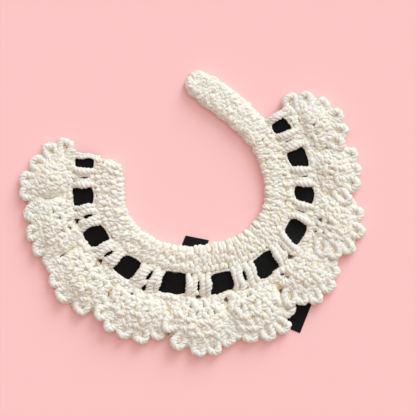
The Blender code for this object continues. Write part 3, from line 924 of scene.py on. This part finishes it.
def post_side(near, far):
    """The line through two lengths along the row, at the first and at the second of WINDOW_SIDES."""
    slope = (far - near) / (WINDOW_SIDES[1] - WINDOW_SIDES[0])
    return lambda outward: near + slope * (np.clip(outward, *POST_STRAIGHT) - WINDOW_SIDES[0])


def slit_side(low, high, slit, side):
    """One side of the slit in a pair of posts with these outer sides, -1 or 1, or for 0 its middle."""
    return lambda outward: (low(outward) + high(outward) + side * slit_width(slit, outward)) / 2


def work_posts(yarn, rng):
    """The pairs of posts between the windows, then the single posts at both ends of the row."""
    for slit, window, after in zip(SLITS, WINDOWS, WINDOWS[1:]):
        place, place_after = eyelet_length(window.angle), eyelet_length(after.angle)
        high = post_side(place + window.neck_from, place + window.shell_from)
        low = post_side(place_after + after.neck_to, place_after + after.shell_to)
        kind = LUMPY_POST if slit.widest < LUMPY_BELOW else EVEN_POST
        for side, outer in ((-1, low), (1, high)):
            work_post(yarn, outer, slit_side(low, high, slit, side), rng, POST_TOP, 0.7, kind)
        close_slit(yarn, slit_side(low, high, slit, 0), slit, rng)
    for window, *places in END_POSTS:
        near_out, far_out, near_in, far_in = eyelet_length(window.angle) + np.array(places)
        outer, inner = post_side(near_out, far_out), post_side(near_in, far_in)
        work_post(yarn, outer, inner, rng, END_POST_TOP, 0.6, EVEN_POST)


def work_under_posts(yarn, rng):
    """The posts that the ribbon hides, one under each window."""
    for window in WINDOWS:
        low, high = eyelet_length(window.angle) + np.array([-UNDER_POST_HALF, UNDER_POST_HALF])
        work_post(yarn, post_side(low, low), post_side(high, high), rng, UNDER_POST_TOP, 0.0, EVEN_POST)


def work_rail(yarn, sizes, rng):
    """The chain that the shells grow from: the windows' shell sides, and a row of stitches behind them."""
    work_window_edge(yarn, sizes, rng, "shell", SHELL_SIDE_DEPTH)
    start, stop = eyelet_length(np.array(RAIL_ANGLES))
    count = int((stop - start) / sizes.stitch)
    places = middles_of(start, stop, count)
    near = np.maximum(window_edge("shell", eyelet_angle(places)) + 2.2, 31.0) + rng.normal(0, 0.35, count)
    half = 0.62 * sizes.stitch
    starts = np.column_stack([places - half, near - 0.5])
    ends = np.column_stack([places + half, near + 0.7 + rng.normal(0, 0.35, count)])
    lay_legs(yarn, row_surface, starts, ends, sizes.yarn, rng, -0.3, 0.4)


# A shell's outline.
SHELL_ROOT_SHARE = 0.92  # how much of the rail between two windows' middles a shell grows out of
SHELL_ROOT_BACK = 1.2  # how far back under the rail its stitches start
SHELL_FLANK = (
    # lean past the outermost picot, reach
    (24.0, 19.5),
    (50.0, 13.0),
)
SHELL_WIDEST_LEAN = 88.0
SHELL_SQUEEZE = 1.5  # how near its limit the outline starts to be squeezed in
SHELL_SHORT = 2.0  # how far short of the middle of a window that limit is

# The height of the yarn's middle from the rail to the shell's last row and down over its edge.
DOME_ALONG = (
    # share of the way out, height
    (-0.10, 3.6),
    (0.00, 4.3),
    (0.20, 6.1),
    (0.45, 7.2),
    (0.70, 6.5),
    (0.90, 4.6),
    (1.00, 3.3),
    (1.10, 1.7),
)
FLANK_OVER = 0.35  # the share of the dome's rise left at its clockwise flank, which lies over the next shell
FLANK_UNDER = -0.20  # the share left at its other flank, which dips
DOME_LOW = 2.4  # the height that the rise is counted from

# The two kinds of row that a shell is worked in by turns: legs that point outward, and bars across them.
RowKind = namedtuple("RowKind", "half_across half_along crossed arch thickness")
SHELL_ROWS = (
    # half a leg across in stitches, along in rows, which of the two changes sign by turns, arch, thickness
    RowKind(0.34, 1.05, (True, False), 0.0, 1.24),
    RowKind(0.85, 0.34, (False, True), 0.1, 1.2),
)
SHELL_DIVE = 0.8
FLANK_SHADE_MOST = 0.68  # the most painted shade that the legs at a shell's flanks get
SUNK_FROM = 0.396  # how far from its middle that starts, as a share of the way across
SUNK_OVER = 0.09  # the share over which it grows

# A picot's loop and what fills it.
PICOT_PROTRUDES = 7.4  # how far a picot reaches past the shell's last row
PICOT_CHAIN = 4.6  # the width of a picot's chain
PICOT_ROOT_HEIGHT = 4.2
PICOT_ROOT = 7.5  # how far back from its bend's middle a picot leaves the last row
PICOT_BULGE = 1.08
PICOT_ARMS = np.array([
    # out, across as a share of the bend
    (-PICOT_ROOT, -0.40),
    (-5.0, -0.85),
    (-2.3, -1.10),
])


class Shell:
    """One fan of the scalloped edge: where it grows from, its outline and its dome."""

    def __init__(self, number):
        self.number = number
        self.row = SHELLS[number]
        self.size = self.row.size
        self.leans = (self.row.last, self.row.middle, self.row.first)
        self.picots = PICOTS[number]
        self.high, self.low = WINDOWS[number].angle, WINDOWS[number + 1].angle
        self.middle = (self.high + self.low) / 2
        self.root = from_neck(self.middle, SHELL_START)
        self.straight = math.degrees(math.atan2(*out_of_neck(self.middle)[::-1]))
        self.edge_points = even_line(self.keep_between(self.edge()), 0.5)
        self.edge_lengths = lengths_along(self.edge_points)

    def reach(self, lean):
        row = self.row
        return curve_at(self.leans, (row.last_reach, row.middle_reach, row.first_reach), lean)

    def tip_height(self, lean):
        """The height of a picot's tip: the outermost ones lie over or under the next shell's."""
        row = self.row
        lean = np.clip(lean, row.last, row.first)
        return float(curve_at(self.leans, (row.last_height, PICOT_ROOT_HEIGHT, row.first_height), lean))

    def toward(self, lean, distance):
        return self.root + np.asarray(distance)[..., None] * compass(self.straight + np.asarray(lean))

    def edge(self):
        """The line of the shell's last row, from its flank on the clockwise side to the other one."""
        row = self.row
        flanks = [(row.last - extra, reach) for extra, reach in SHELL_FLANK]
        flanks += [(row.first + extra, reach) for extra, reach in SHELL_FLANK]
        places = [(lean, reach) for lean, reach in flanks if abs(lean) < SHELL_WIDEST_LEAN]
        for lean in np.linspace(row.last, row.first, 7):
            places.append((lean, self.reach(lean) - self.size * PICOT_PROTRUDES))
        return np.array([self.toward(lean, reach) for lean, reach in sorted(places)])

    def keep_between(self, points):
        """Squeezes what nears the middle of a window, where the next shell starts, in before it."""
        walls = ((self.high, 1, self.number > 0), (self.low, -1, self.number < len(SHELLS) - 1))
        for wall, sign, neighbour in walls:
            if not neighbour:
                continue
            across = sign * turned(out_of_neck(wall))
            room = -(SHELL_SHORT + (points - from_neck(wall, SHELL_START)) @ across)
            squeezed = SHELL_SQUEEZE * np.exp(np.minimum(room / SHELL_SQUEEZE, 1.0) - 1.0)
            points = points + np.outer(np.minimum(room - squeezed, 0) * (room < SHELL_SQUEEZE), across)
        return points

    def plan(self, across, along):
        """The point in plan at a share of the way across the shell and a share of the way out."""
        angle = self.middle + (across - 0.5) * (SHELL_ROOT_SHARE * (self.high - self.low))
        root = from_neck(angle, SHELL_START - SHELL_ROOT_BACK)
        edge = read(np.clip(across, 0, 1) * self.edge_lengths[-1], self.edge_lengths, self.edge_points)
        along = along[..., None]
        return root * (1 - along) + edge * along

    def surface(self, across, along):
        """The point over the dome at a share of the way across it and a share of the way out."""
        height = np.interp(along, *zip(*DOME_ALONG))
        rounding = np.sin(math.pi * np.clip(across, 0.01, 0.99)) ** 0.8
        flank = FLANK_OVER + (FLANK_UNDER - FLANK_OVER) * np.clip(across, 0, 1)
        share = flank + (1 - flank) * rounding
        height = DOME_LOW + (height - DOME_LOW) * np.where(height > DOME_LOW, share, 1.0)
        return raised(self.plan(across, along), height)

    def work_rows(self, yarn, sizes, rng):
        """Rows of stitches along the dome, legs that point outward and bars across them by turns."""
        middle = np.linspace(0, 1, 30)
        length = lengths_along(self.surface(np.full(30, 0.5), middle))[-1]
        stitch = self.size * sizes.shell_stitch
        rows = int(round(length / (1.05 * stitch)))
        for number in range(rows):
            row = SHELL_ROWS[number % 2]
            along = (number + 0.5) / (rows - 0.4)
            width = lengths_along(self.surface(middle, np.full(30, along)))[-1]
            count = max(3, int(round(width / stitch)))
            across = middles_of(0, 1, count)
            stray = np.array([sizes.unevenness / count, sizes.unevenness / rows])
            sign = by_turns(count, -1.0, 1.0)[:, None] * (-1) ** number
            half = np.where(row.crossed, sign, 1.0) * (row.half_across / count, row.half_along / rows)
            middles = np.column_stack([across, np.full(count, along)])
            starts, ends = both_ends(middles, half, stray, rng)
            # Painted shade on the legs at the shell's flanks, growing outward.
            flank = np.clip((np.abs(across - 0.5) - SUNK_FROM) / SUNK_OVER, 0, 1)
            leg_shade = FLANK_SHADE_MOST * np.clip(1.5 * along, 0, 1) ** 2 * flank
            thickness = self.size * sizes.yarn * row.thickness
            lay_legs(yarn, self.surface, starts, ends, thickness, rng, row.arch, SHELL_DIVE, 13, leg_shade)

    def work_hem(self, yarn, sizes):
        """The strands round the shell's foot, under its dome."""
        across = np.concatenate([np.zeros(12), np.linspace(0, 1, 40), np.ones(12)])
        along = np.concatenate([np.linspace(0.05, 0.93, 12), np.full(40, 0.97), np.linspace(0.93, 0.05, 12)])
        lay_rope(yarn, self.plan(across, along), 2.5, 0.8, 0.7, sizes.yarn * 0.9, 7.0)

    def work_picots(self, yarn, sizes, rng):
        """The loops along the outer edge, each a chain that leaves the last row and comes back to it."""
        bend = (sizes.picot_width - PICOT_CHAIN) / 2
        turn = np.radians(np.linspace(-80, 80, 7))
        tip = np.column_stack([np.cos(turn) * bend, np.sin(turn) * PICOT_BULGE])
        back = np.linspace(-1, 0, 9)
        for lean, reach in self.picots:
            tip_height = self.tip_height(lean)
            loop = np.concatenate([PICOT_ARMS, tip, (PICOT_ARMS * (1, -1))[::-1]])
            loop[:, 1] *= bend
            loop += rng.normal(0, 0.15, loop.shape)
            middle = self.toward(lean, reach - sizes.picot_width / 2)
            run = compass(self.straight + lean + rng.normal(0, 3.0))
            plan = middle + loop[:, :1] * run + loop[:, 1:] * turned(run)
            share = np.clip((loop[:, 0] + PICOT_ROOT) / (PICOT_ROOT + bend), 0, 1)
            height = PICOT_ROOT_HEIGHT + (tip_height - PICOT_ROOT_HEIGHT) * share
            path = even_line(raised(plan, height), 0.7)
            lay_chain(yarn, path, 0.95 * PICOT_CHAIN, 0.6 * PICOT_CHAIN, 0.12 * PICOT_CHAIN, rng)
            # A filler strand inside the loop, with painted shade.
            fill_height = tip_height - 1.2 + (PICOT_ROOT_HEIGHT - tip_height) * -back
            fill = raised(middle + (8.0 * back[:, None] + 0.6) * run, fill_height)
            yarn.add(fill, 0.34 * PICOT_CHAIN, 0.6)
        self.join_picots(yarn)

    def join_picots(self, yarn):
        """The strand between each picot and the next, from under the last row outward."""
        taper = 0.8 + 0.2 * np.sin(np.linspace(0, math.pi, 11))
        for (lean, reach), (next_lean, next_reach) in zip(self.picots, self.picots[1:]):
            away = (reach + next_reach) / 2 - self.size * np.linspace(11.5, 6.0, 11)
            plan = self.toward((lean + next_lean) / 2, away)
            line = raised(plan, np.linspace(5.2, 2.8, 11))
            # A little painted shade.
            yarn.add(line, 0.40 * PICOT_CHAIN * self.size * taper, 0.1)

    def work_valley(self, yarn, sizes, rng):
        """The low stitches where the shell meets the next one, bars across the line between them."""
        outward = np.arange(SHELL_START - 0.6, SHELL_START + 8.5, 2.3)
        count = len(outward)
        out = out_of_neck(self.low)
        t = np.linspace(-1, 1, 13)
        half = np.linspace(3.8, 2.6, count)[:, None]
        lean = by_turns(count, -1.3, 1.3)[:, None] + rng.normal(0, 0.4, (count, 1))
        start = from_neck(self.low, outward)[:, None]
        plan = start + (half * t)[..., None] * turned(out) + (lean * t)[..., None] * out
        top = np.linspace(4.4, 2.6, count)[:, None]
        height = top - 0.9 * np.abs(t) ** 3 + rng.normal(0, 0.25, (count, 1))
        # Painted shade, deepening outward along the valley.
        depth = np.linspace(0.1, 0.75, count)[:, None]
        yarn.add(raised(plan, height), 0.48 * sizes.yarn * (1 - 0.25 * np.abs(t) ** 3), depth)


RIBBON_ANGLES = (168.0, 395.7)  # where the woven ribbon starts and stops
RIBBON_UNDER_POSTS = 2.9  # the height of its middle under a pair of posts
RIBBON_OVER_POSTS = 0.5  # how much higher it is in a window, over the hidden post
RIBBON_AT_ENDS = 1.7
WINDOW_HALF = 3.1  # half of the stretch that lies level over a hidden post
RIBBON_RISE = 4.0  # the stretch in which it rises or falls
RIBBON_END_DIP = 2.0
WOVEN_WALL = 0.7
RIBBON_PLACES = np.linspace(-1, 1, 15)  # across it, in half widths
RIBBON_REACH = RIBBON_PLACES * RIBBON_WIDTH / 2
TAIL_WALL = 0.36
TAIL_SEAT = 0.01  # how far over the surface a tail lies
FOLD_RADIUS = 0.29
Tail = namedtuple("Tail", "name start fold tip slant")
TAILS = (
    # name, start, fold, tip, how far one corner of the cut end reaches past its middle
    Tail("ribbon_tail_left", (-62.8, 29.8), (-20.8, -70.4), (3.2, -12.8), -1.4),
    Tail("ribbon_tail_right", (55.6, 54.1), (88.8, 10.2), (57.4, -68.4), 0.0),
)


def close_sheet(name, rows, off, along, material):
    """A closed thin body round a grid of points, off being half its wall, with a map in millimetres."""
    rings = np.concatenate([rows - off, (rows + off)[:, ::-1]], axis=1)
    around = rings.shape[1]
    corners, totals = tube_faces(np.arange(len(rows) * around).reshape(1, len(rows), around))
    mesh = make_mesh(name, rings.reshape(-1, 3), corners, totals)
    mesh.set_sharp_from_angle(angle=math.radians(60))
    u = np.repeat(along, around)
    v = np.tile(np.concatenate([RIBBON_REACH, RIBBON_REACH[::-1]]), len(rows))
    add_map(mesh, "ribbon", np.column_stack([u[corners], v[corners]]))
    return put_in_scene(name, mesh, material)


def closeness(place, marks, start, length):
    """1 up to this distance from the marks, and smoothly down to 0 one length further on."""
    distance = np.abs(place[:, None] - marks).min(axis=1)
    return 0.5 + 0.5 * np.cos(math.pi * np.clip((distance - start) / length, 0, 1))


def make_woven_ribbon(material):
    """The ribbon in the windows, up over hidden posts and down under pairs, and its length."""
    ends = eyelet_length(np.array(RIBBON_ANGLES))
    windows = eyelet_length(np.array([window.angle for window in WINDOWS]))
    place = np.linspace(*ends, 380)
    angle = eyelet_angle(place)
    height = RIBBON_UNDER_POSTS + RIBBON_OVER_POSTS * closeness(place, windows, WINDOW_HALF, RIBBON_RISE)
    height += closeness(place, ends, 0.0, RIBBON_END_DIP) * (RIBBON_AT_ENDS - height)
    middle = raised(from_neck(angle, RIBBON_MIDDLE), height)
    side = raised(out_of_neck(angle), 0.0)
    up = np.cross(np.gradient(middle, axis=0), side)
    up = unit(up) * np.sign(up[:, 2:])
    crown = 1 - 0.5 * np.abs(RIBBON_PLACES) ** 6  # a little thinner at its edges
    rows = middle[:, None] + side[:, None] * RIBBON_REACH[:, None]
    off = up[:, None] * (WOVEN_WALL / 2 * crown)[:, None]
    return close_sheet("woven_ribbon", rows, off, place, material), ends[1] - ends[0]


def make_tail(tail, material):
    """A tail that lies flat on the surface, runs to a crease, turns over there and runs on to its cut end."""
    start, fold, tip = (np.array(point) for point in (tail.start, tail.fold, tail.tip))
    before, after = unit(fold - start), unit(tip - fold)
    side = -turned(before)
    bend = before[0] * after[1] - before[1] * after[0]
    crease_out = unit(before - after)
    length = np.linalg.norm(fold - start) + np.linalg.norm(tip - fold)
    cut = length + tail.slant * math.copysign(1.0, bend) * RIBBON_PLACES
    along = np.linspace(0, 1, 260)[:, None] * cut
    plan = start + along[..., None] * before + RIBBON_REACH[:, None] * side
    past = (plan - fold) @ crease_out
    angle = np.clip(past / FOLD_RADIUS, 0, math.pi)
    folded = FOLD_RADIUS * np.sin(angle) - np.maximum(past - math.pi * FOLD_RADIUS, 0)
    plan = plan + np.where(past > 0, folded - past, 0.0)[..., None] * crease_out
    height = TAIL_WALL / 2 + TAIL_SEAT + FOLD_RADIUS * (1 + np.cos(angle))
    rows = raised(plan, height)
    off = TAIL_WALL / 2 * raised(np.sin(angle)[..., None] * crease_out, np.cos(angle))
    return close_sheet(f"{tail.name}_cloth", rows, off, along.mean(axis=1), material), length


def srgb(text):
    """Linear RGBA from an sRGB hex value."""
    values = [int(text[k:k + 2], 16) / 255 for k in (0, 2, 4)]
    return [v / 12.92 if v <= 0.04045 else ((v + 0.055) / 1.055) ** 2.4 for v in values] + [1.0]


def node(tree, kind, inputs=(), **settings):
    """Adds a shader node: an input, named or numbered, takes a value, a socket or a node's first output."""
    made = tree.nodes.new(f"ShaderNode{kind}")
    for key, value in settings.items():
        setattr(made, key, value)
    for key, value in dict(inputs).items():
        if isinstance(value, bpy.types.Node):
            value = value.outputs[0]
        if isinstance(value, bpy.types.NodeSocket):
            tree.links.new(value, made.inputs[key])
        else:
            made.inputs[key].default_value = value
    return made


# The yarn's fibres: waves of them in one turn of the plies, round the yarn, and between strands' patterns.
FIBRES_ALONG = 9.0
FIBRES_ROUND = 26.0
FIBRES_APART = 60.0
SIDE_DEPTH = 0.3  # up to here the yarn's sides get painted glow, and beyond it painted shade, on a scale from 0 at the top of a strand to 1
RIB_SPACING = 0.5  # of the ribbon's woven ribs
RUMPLE_TO_RIB = 12.0  # how much more the ribbon's rumples tilt it than its ribs do


def cotton_yarn(tree, colours):
    """Bleached cotton, plied and softly twisted: matt, with a faint halo of fibres that lights its edges."""
    split = node(tree, "SeparateXYZ", {0: node(tree, "UVMap", uv_map="yarn")})
    # The painted shade that each point carries, from 0 on top to 1 deep between stitches.
    tone = node(tree, "Attribute", attribute_name="tone").outputs["Fac"]
    depth = node(tree, "Attribute", attribute_name="depth").outputs["Fac"]
    # Fibres lie along the ply: they are drawn about 0.4 mm apart, coarser than real ones so that they show.
    along = node(tree, "Math", {0: split.outputs[0], 1: FIBRES_ALONG}, operation="MULTIPLY")
    around = node(tree, "Math", {0: split.outputs[1], 1: FIBRES_ROUND}, operation="MULTIPLY")
    apart = node(tree, "Math", {0: tone, 1: FIBRES_APART}, operation="MULTIPLY")
    stretched = node(tree, "CombineXYZ", {0: along, 1: around, 2: apart})
    fibres = node(tree, "TexNoise", {"Vector": stretched, "Scale": 1.0, "Detail": 3.0})
    # Warmer streaks: patches about 6 mm long, and a share that differs from strand to strand.
    place = node(tree, "TexCoord").outputs["Object"]
    clouds = node(tree, "TexNoise", {"Vector": place, "Scale": 160.0, "Detail": 2.0})
    warm = node(tree, "Math", {0: clouds, 1: tone}, operation="MULTIPLY")
    # Painted glow lightens the strands' sides, as for light through the fibres; painted shade darkens the
    # deepest yarn.
    side = node(tree, "MapRange", {"Value": depth, "From Max": SIDE_DEPTH})
    deep = node(tree, "MapRange", {"Value": depth, "From Min": SIDE_DEPTH})
    colour = srgb(colours.cotton)
    for share, other in ((warm, "cotton_warm"), (side, "painted_side_glow"), (deep, "painted_crevice_shade")):
        inputs = {"Factor": share, 6: colour, 7: srgb(getattr(colours, other))}
        colour = node(tree, "Mix", inputs, data_type="RGBA").outputs[2]
    return node(tree, "BsdfPrincipled", {
        "Base Color": colour,
        "Roughness": 0.88,
        "IOR": 1.5,
        "Specular IOR Level": 0.2,
        "Sheen Weight": 0.35,
        "Sheen Roughness": 0.5,
        "Normal": node(tree, "Bump", {"Height": fibres, "Strength": 0.5, "Distance": 0.0004}),
    })


def woven_ribbon(tree, colours):
    """Dyed ribbon, plain-woven from fine filament: near black, with a low soft sheen across its ribs."""
    split = node(tree, "SeparateXYZ", {0: node(tree, "UVMap", uv_map="ribbon")})
    # Ribs run across the ribbon, drawn about as far apart as real ones.
    phase = node(tree, "Math", {0: split, 1: 2 * math.pi / RIB_SPACING}, operation="MULTIPLY")
    ribs = node(tree, "Math", {0: phase}, operation="SINE")
    # It is slightly rumpled, in soft waves about 8 mm long.
    place = node(tree, "TexCoord").outputs["Object"]
    rumples = node(tree, "TexNoise", {"Vector": place, "Scale": 120.0, "Detail": 1.0})
    waves = node(tree, "Math", {0: rumples, 1: RUMPLE_TO_RIB}, operation="MULTIPLY")
    height = node(tree, "Math", {0: ribs, 1: waves}, operation="ADD")
    return node(tree, "BsdfPrincipled", {
        "Base Color": srgb(colours.ribbon),
        "Roughness": 0.45,
        "IOR": 1.5,
        "Specular IOR Level": 0.16,
        "Sheen Weight": 0.02,
        "Normal": node(tree, "Bump", {"Height": height, "Strength": 1.0, "Distance": 0.00012}),
    })


def matt_card(tree, colours):
    """Dyed card: one flat pastel with no gloss."""
    inputs = {"Base Color": srgb(colours.surface), "Roughness": 1.0, "Specular IOR Level": 0.0}
    return node(tree, "BsdfPrincipled", inputs)


MATERIALS = {
    "cotton_yarn_worked": cotton_yarn,
    "ribbon_black_woven": woven_ribbon,
    "card_pastel": matt_card,
}


def material_named(context, name):
    """The material of this name, made when it is first asked for."""
    material = bpy.data.materials.get(name)
    if material is None:
        material = bpy.data.materials.new(name)
        material.use_nodes = True
        material.node_tree.nodes.clear()
        shader = MATERIALS[name](material.node_tree, context.scene.collar_colours)
        node(material.node_tree, "OutputMaterial", {"Surface": shader})
    return material


def stand_for(obj, slot, *node_names):
    """Puts a piece on the collar's root and hides these solids, whose place it takes. slot is not used."""
    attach(obj, "root")
    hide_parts(*node_names)


def declare_cloth(core, node_name, flat, *yarn):
    """Puts a core and the first of its stitches on the collar's root in a solid's place, and hides that
    solid. flat is not used.
    """
    for obj in (core, yarn[0]):
        stand_for(obj, "cotton_yarn", node_name)


def work_start(context, number):
    """The sizes, this operator's or shell's own random draws, and the cotton."""
    rng = np.random.default_rng(SEED + number)
    return context.scene.collar_sizes, rng, material_named(context, "cotton_yarn_worked")


def nodes_named(start):
    return sorted(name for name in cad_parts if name.startswith(start))


# How far each core is drawn in and lowered from its solid, and the flat size that its crochet is worked to.
BAND_CORE = (0.6, 1.0)
RAIL_CORE = (0.4, 1.5)
SHELL_CORE = (1.8, 1.3)
ROW_CLOTH_WIDTH = 10.0
ROW_CLOTH_LONGER = 1.3  # the row's outer line, as a share of the line through the eyelets' middles
SHELL_CLOTH = (38.0, 34.0)


class COLLAR_OT_neck_band(Operator):
    """Works the neck band and its strap: the rolled edge row, the short rows and the eyelet row's chain"""

    bl_idname = "collar.neck_band"
    bl_label = "Neck band"

    def execute(self, context):
        sizes, rng, cotton = work_start(context, 1)
        core = core_of("neck_band", *BAND_CORE, cotton)
        yarn = Yarn(sizes)
        work_edge_row(yarn, sizes, rng)
        for row in SHORT_ROWS:
            work_short_row(yarn, sizes, rng, *row)
        work_window_edge(yarn, sizes, rng, "neck", NECK_SIDE_DEPTH)
        work_strap(yarn, sizes, rng)
        hem_strap_tip(yarn, sizes)
        hem_square_end(yarn, sizes)
        stitches = yarn.mesh("neck_band_stitches", cotton)
        declare_cloth(core, "neck_band", (BAND_WIDTH, BAND_END), stitches)
        return {"FINISHED"}


class COLLAR_OT_eyelet_row(Operator):
    """Works the tall stitches over and under the ribbon, and the chain that closes the row"""

    bl_idname = "collar.eyelet_row"
    bl_label = "Eyelet row"

    def execute(self, context):
        sizes, rng, cotton = work_start(context, 2)
        core = core_of("shell_rail", *RAIL_CORE, cotton)
        over, under, chain = (Yarn(sizes) for _ in range(3))
        work_posts(over, rng)
        work_under_posts(under, rng)
        work_rail(chain, sizes, rng)
        posts = over.mesh("eyelet_posts", cotton)
        hidden = under.mesh("eyelet_under_posts", cotton)
        rail = chain.mesh("shell_rail_stitches", cotton)
        stand_for(posts, "cotton_yarn", *nodes_named("post_"), *nodes_named("end_post_"))
        stand_for(hidden, "cotton_yarn", *nodes_named("under_post_"))
        length = eyelet_length(WINDOWS[0].angle) - eyelet_length(WINDOWS[-1].angle)
        declare_cloth(core, "shell_rail", (ROW_CLOTH_WIDTH, ROW_CLOTH_LONGER * length), rail, posts, hidden)
        return {"FINISHED"}


class COLLAR_OT_shells(Operator):
    """Works the ten domed shells with their picot loops"""

    bl_idname = "collar.shells"
    bl_label = "Shells"

    def execute(self, context):
        for number in range(len(SHELLS)):
            sizes, rng, cotton = work_start(context, 20 + number)
            node_name = f"shell_{number + 1:02d}"
            core = core_of(node_name, *SHELL_CORE, cotton)
            shell = Shell(number)
            yarn = Yarn(sizes)
            shell.work_rows(yarn, sizes, rng)
            shell.work_hem(yarn, sizes)
            shell.work_picots(yarn, sizes, rng)
            if number + 1 < len(SHELLS):
                shell.work_valley(yarn, sizes, rng)
            stitches = yarn.mesh(f"{node_name}_stitches", cotton)
            declare_cloth(core, node_name, SHELL_CLOTH, stitches)
        return {"FINISHED"}


class COLLAR_OT_ribbon(Operator):
    """Threads the ribbon through the eyelets and lays its two tails under the collar"""

    bl_idname = "collar.ribbon"
    bl_label = "Ribbon"

    def execute(self, context):
        material = material_named(context, "ribbon_black_woven")
        made = [("ribbon_woven", *make_woven_ribbon(material))]
        made += [(tail.name, *make_tail(tail, material)) for tail in TAILS]
        for node_name, obj, length in made:
            stand_for(obj, "black_ribbon", node_name)
        return {"FINISHED"}


FLOOR_SIZE = 3.0  # this and the next one in metres
NEAREST_SEEN = 0.01
SENSOR = 36.0  # the camera sensor's width, in millimetres
LAMPS = (
    # name, direction it comes from, height over the horizon, how wide it is, red, green, blue
    ("key", 62.0, 28.0, 34.0, 0.84, 1.05, 1.14),
    ("top", 58.0, 66.0, 60.0, 1.0, 1.0, 0.98),
)
FILL_COLOUR = (1.0, 0.77, 0.68)  # the light from all round, as the surface throws it back


class COLLAR_OT_stage(Operator):
    """Sets the surface, the soft light and the camera over the collar"""

    bl_idname = "collar.stage"
    bl_label = "Stage"

    def execute(self, context):
        scene = context.scene
        stage = scene.collar_stage
        corners = np.array([(-1, -1, 0), (1, -1, 0), (1, 1, 0), (-1, 1, 0)]) * (FLOOR_SIZE / 2 / MM)
        mesh = make_mesh("surface", corners, np.arange(4), np.array([4]))
        put_in_scene("surface", mesh, material_named(context, "card_pastel"))
        camera = bpy.data.cameras.new("camera")
        camera.sensor_width = SENSOR
        camera.lens = SENSOR * stage.camera_height / stage.view_width
        camera.clip_start = NEAREST_SEEN
        scene.camera = put_in_scene("camera", camera)
        scene.camera.location = (stage.view_x, stage.view_y, stage.camera_height)
        for name, turn, rise, wide, *colour in LAMPS:
            light = bpy.data.lights.new(name, "SUN")
            light.energy = getattr(stage, name)
            light.angle = math.radians(wide)
            light.color = colour
            toward = (*compass(turn) * math.cos(math.radians(rise)), math.sin(math.radians(rise)))
            lamp = put_in_scene(name, light)
            lamp.location = toward
            lamp.rotation_euler = Vector(toward).to_track_quat("Z", "Y").to_euler()
        world = bpy.data.worlds.new("studio")
        world.use_nodes = True
        background = world.node_tree.nodes["Background"]
        background.inputs["Color"].default_value = (*FILL_COLOUR, 1.0)
        background.inputs["Strength"].default_value = stage.fill
        scene.world = world
        scene.view_settings.view_transform = "Standard"
        return {"FINISHED"}


GROUPS = {"collar_sizes": CollarSizes, "collar_colours": CollarColours, "collar_stage": CollarStage}
OPERATORS = (COLLAR_OT_stage, COLLAR_OT_neck_band, COLLAR_OT_eyelet_row, COLLAR_OT_shells, COLLAR_OT_ribbon)


class COLLAR_PT_panel(Panel):
    """The collar's pieces, sizes and colours"""

    bl_idname = "COLLAR_PT_panel"
    bl_label = "Crochet collar"
    bl_space_type = "VIEW_3D"
    bl_region_type = "UI"
    bl_category = "Collar"

    def draw(self, context):
        for group_name, group in GROUPS.items():
            box = self.layout.box()
            for name in group.__annotations__:
                box.prop(getattr(context.scene, group_name), name)
        for operator in OPERATORS:
            self.layout.operator(operator.bl_idname)


def register():
    for group in (*GROUPS.values(), *OPERATORS, COLLAR_PT_panel):
        bpy.utils.register_class(group)
    for name, group in GROUPS.items():
        setattr(bpy.types.Scene, name, PointerProperty(type=group))


def unregister():
    for name in GROUPS:
        delattr(bpy.types.Scene, name)
    for group in reversed((*GROUPS.values(), *OPERATORS, COLLAR_PT_panel)):
        bpy.utils.unregister_class(group)


def main():
    register()
    bpy.ops.collar.stage()
    bpy.ops.collar.neck_band()
    bpy.ops.collar.eyelet_row()
    bpy.ops.collar.shells()
    bpy.ops.collar.ribbon()


if __name__ == "__main__":
    main()
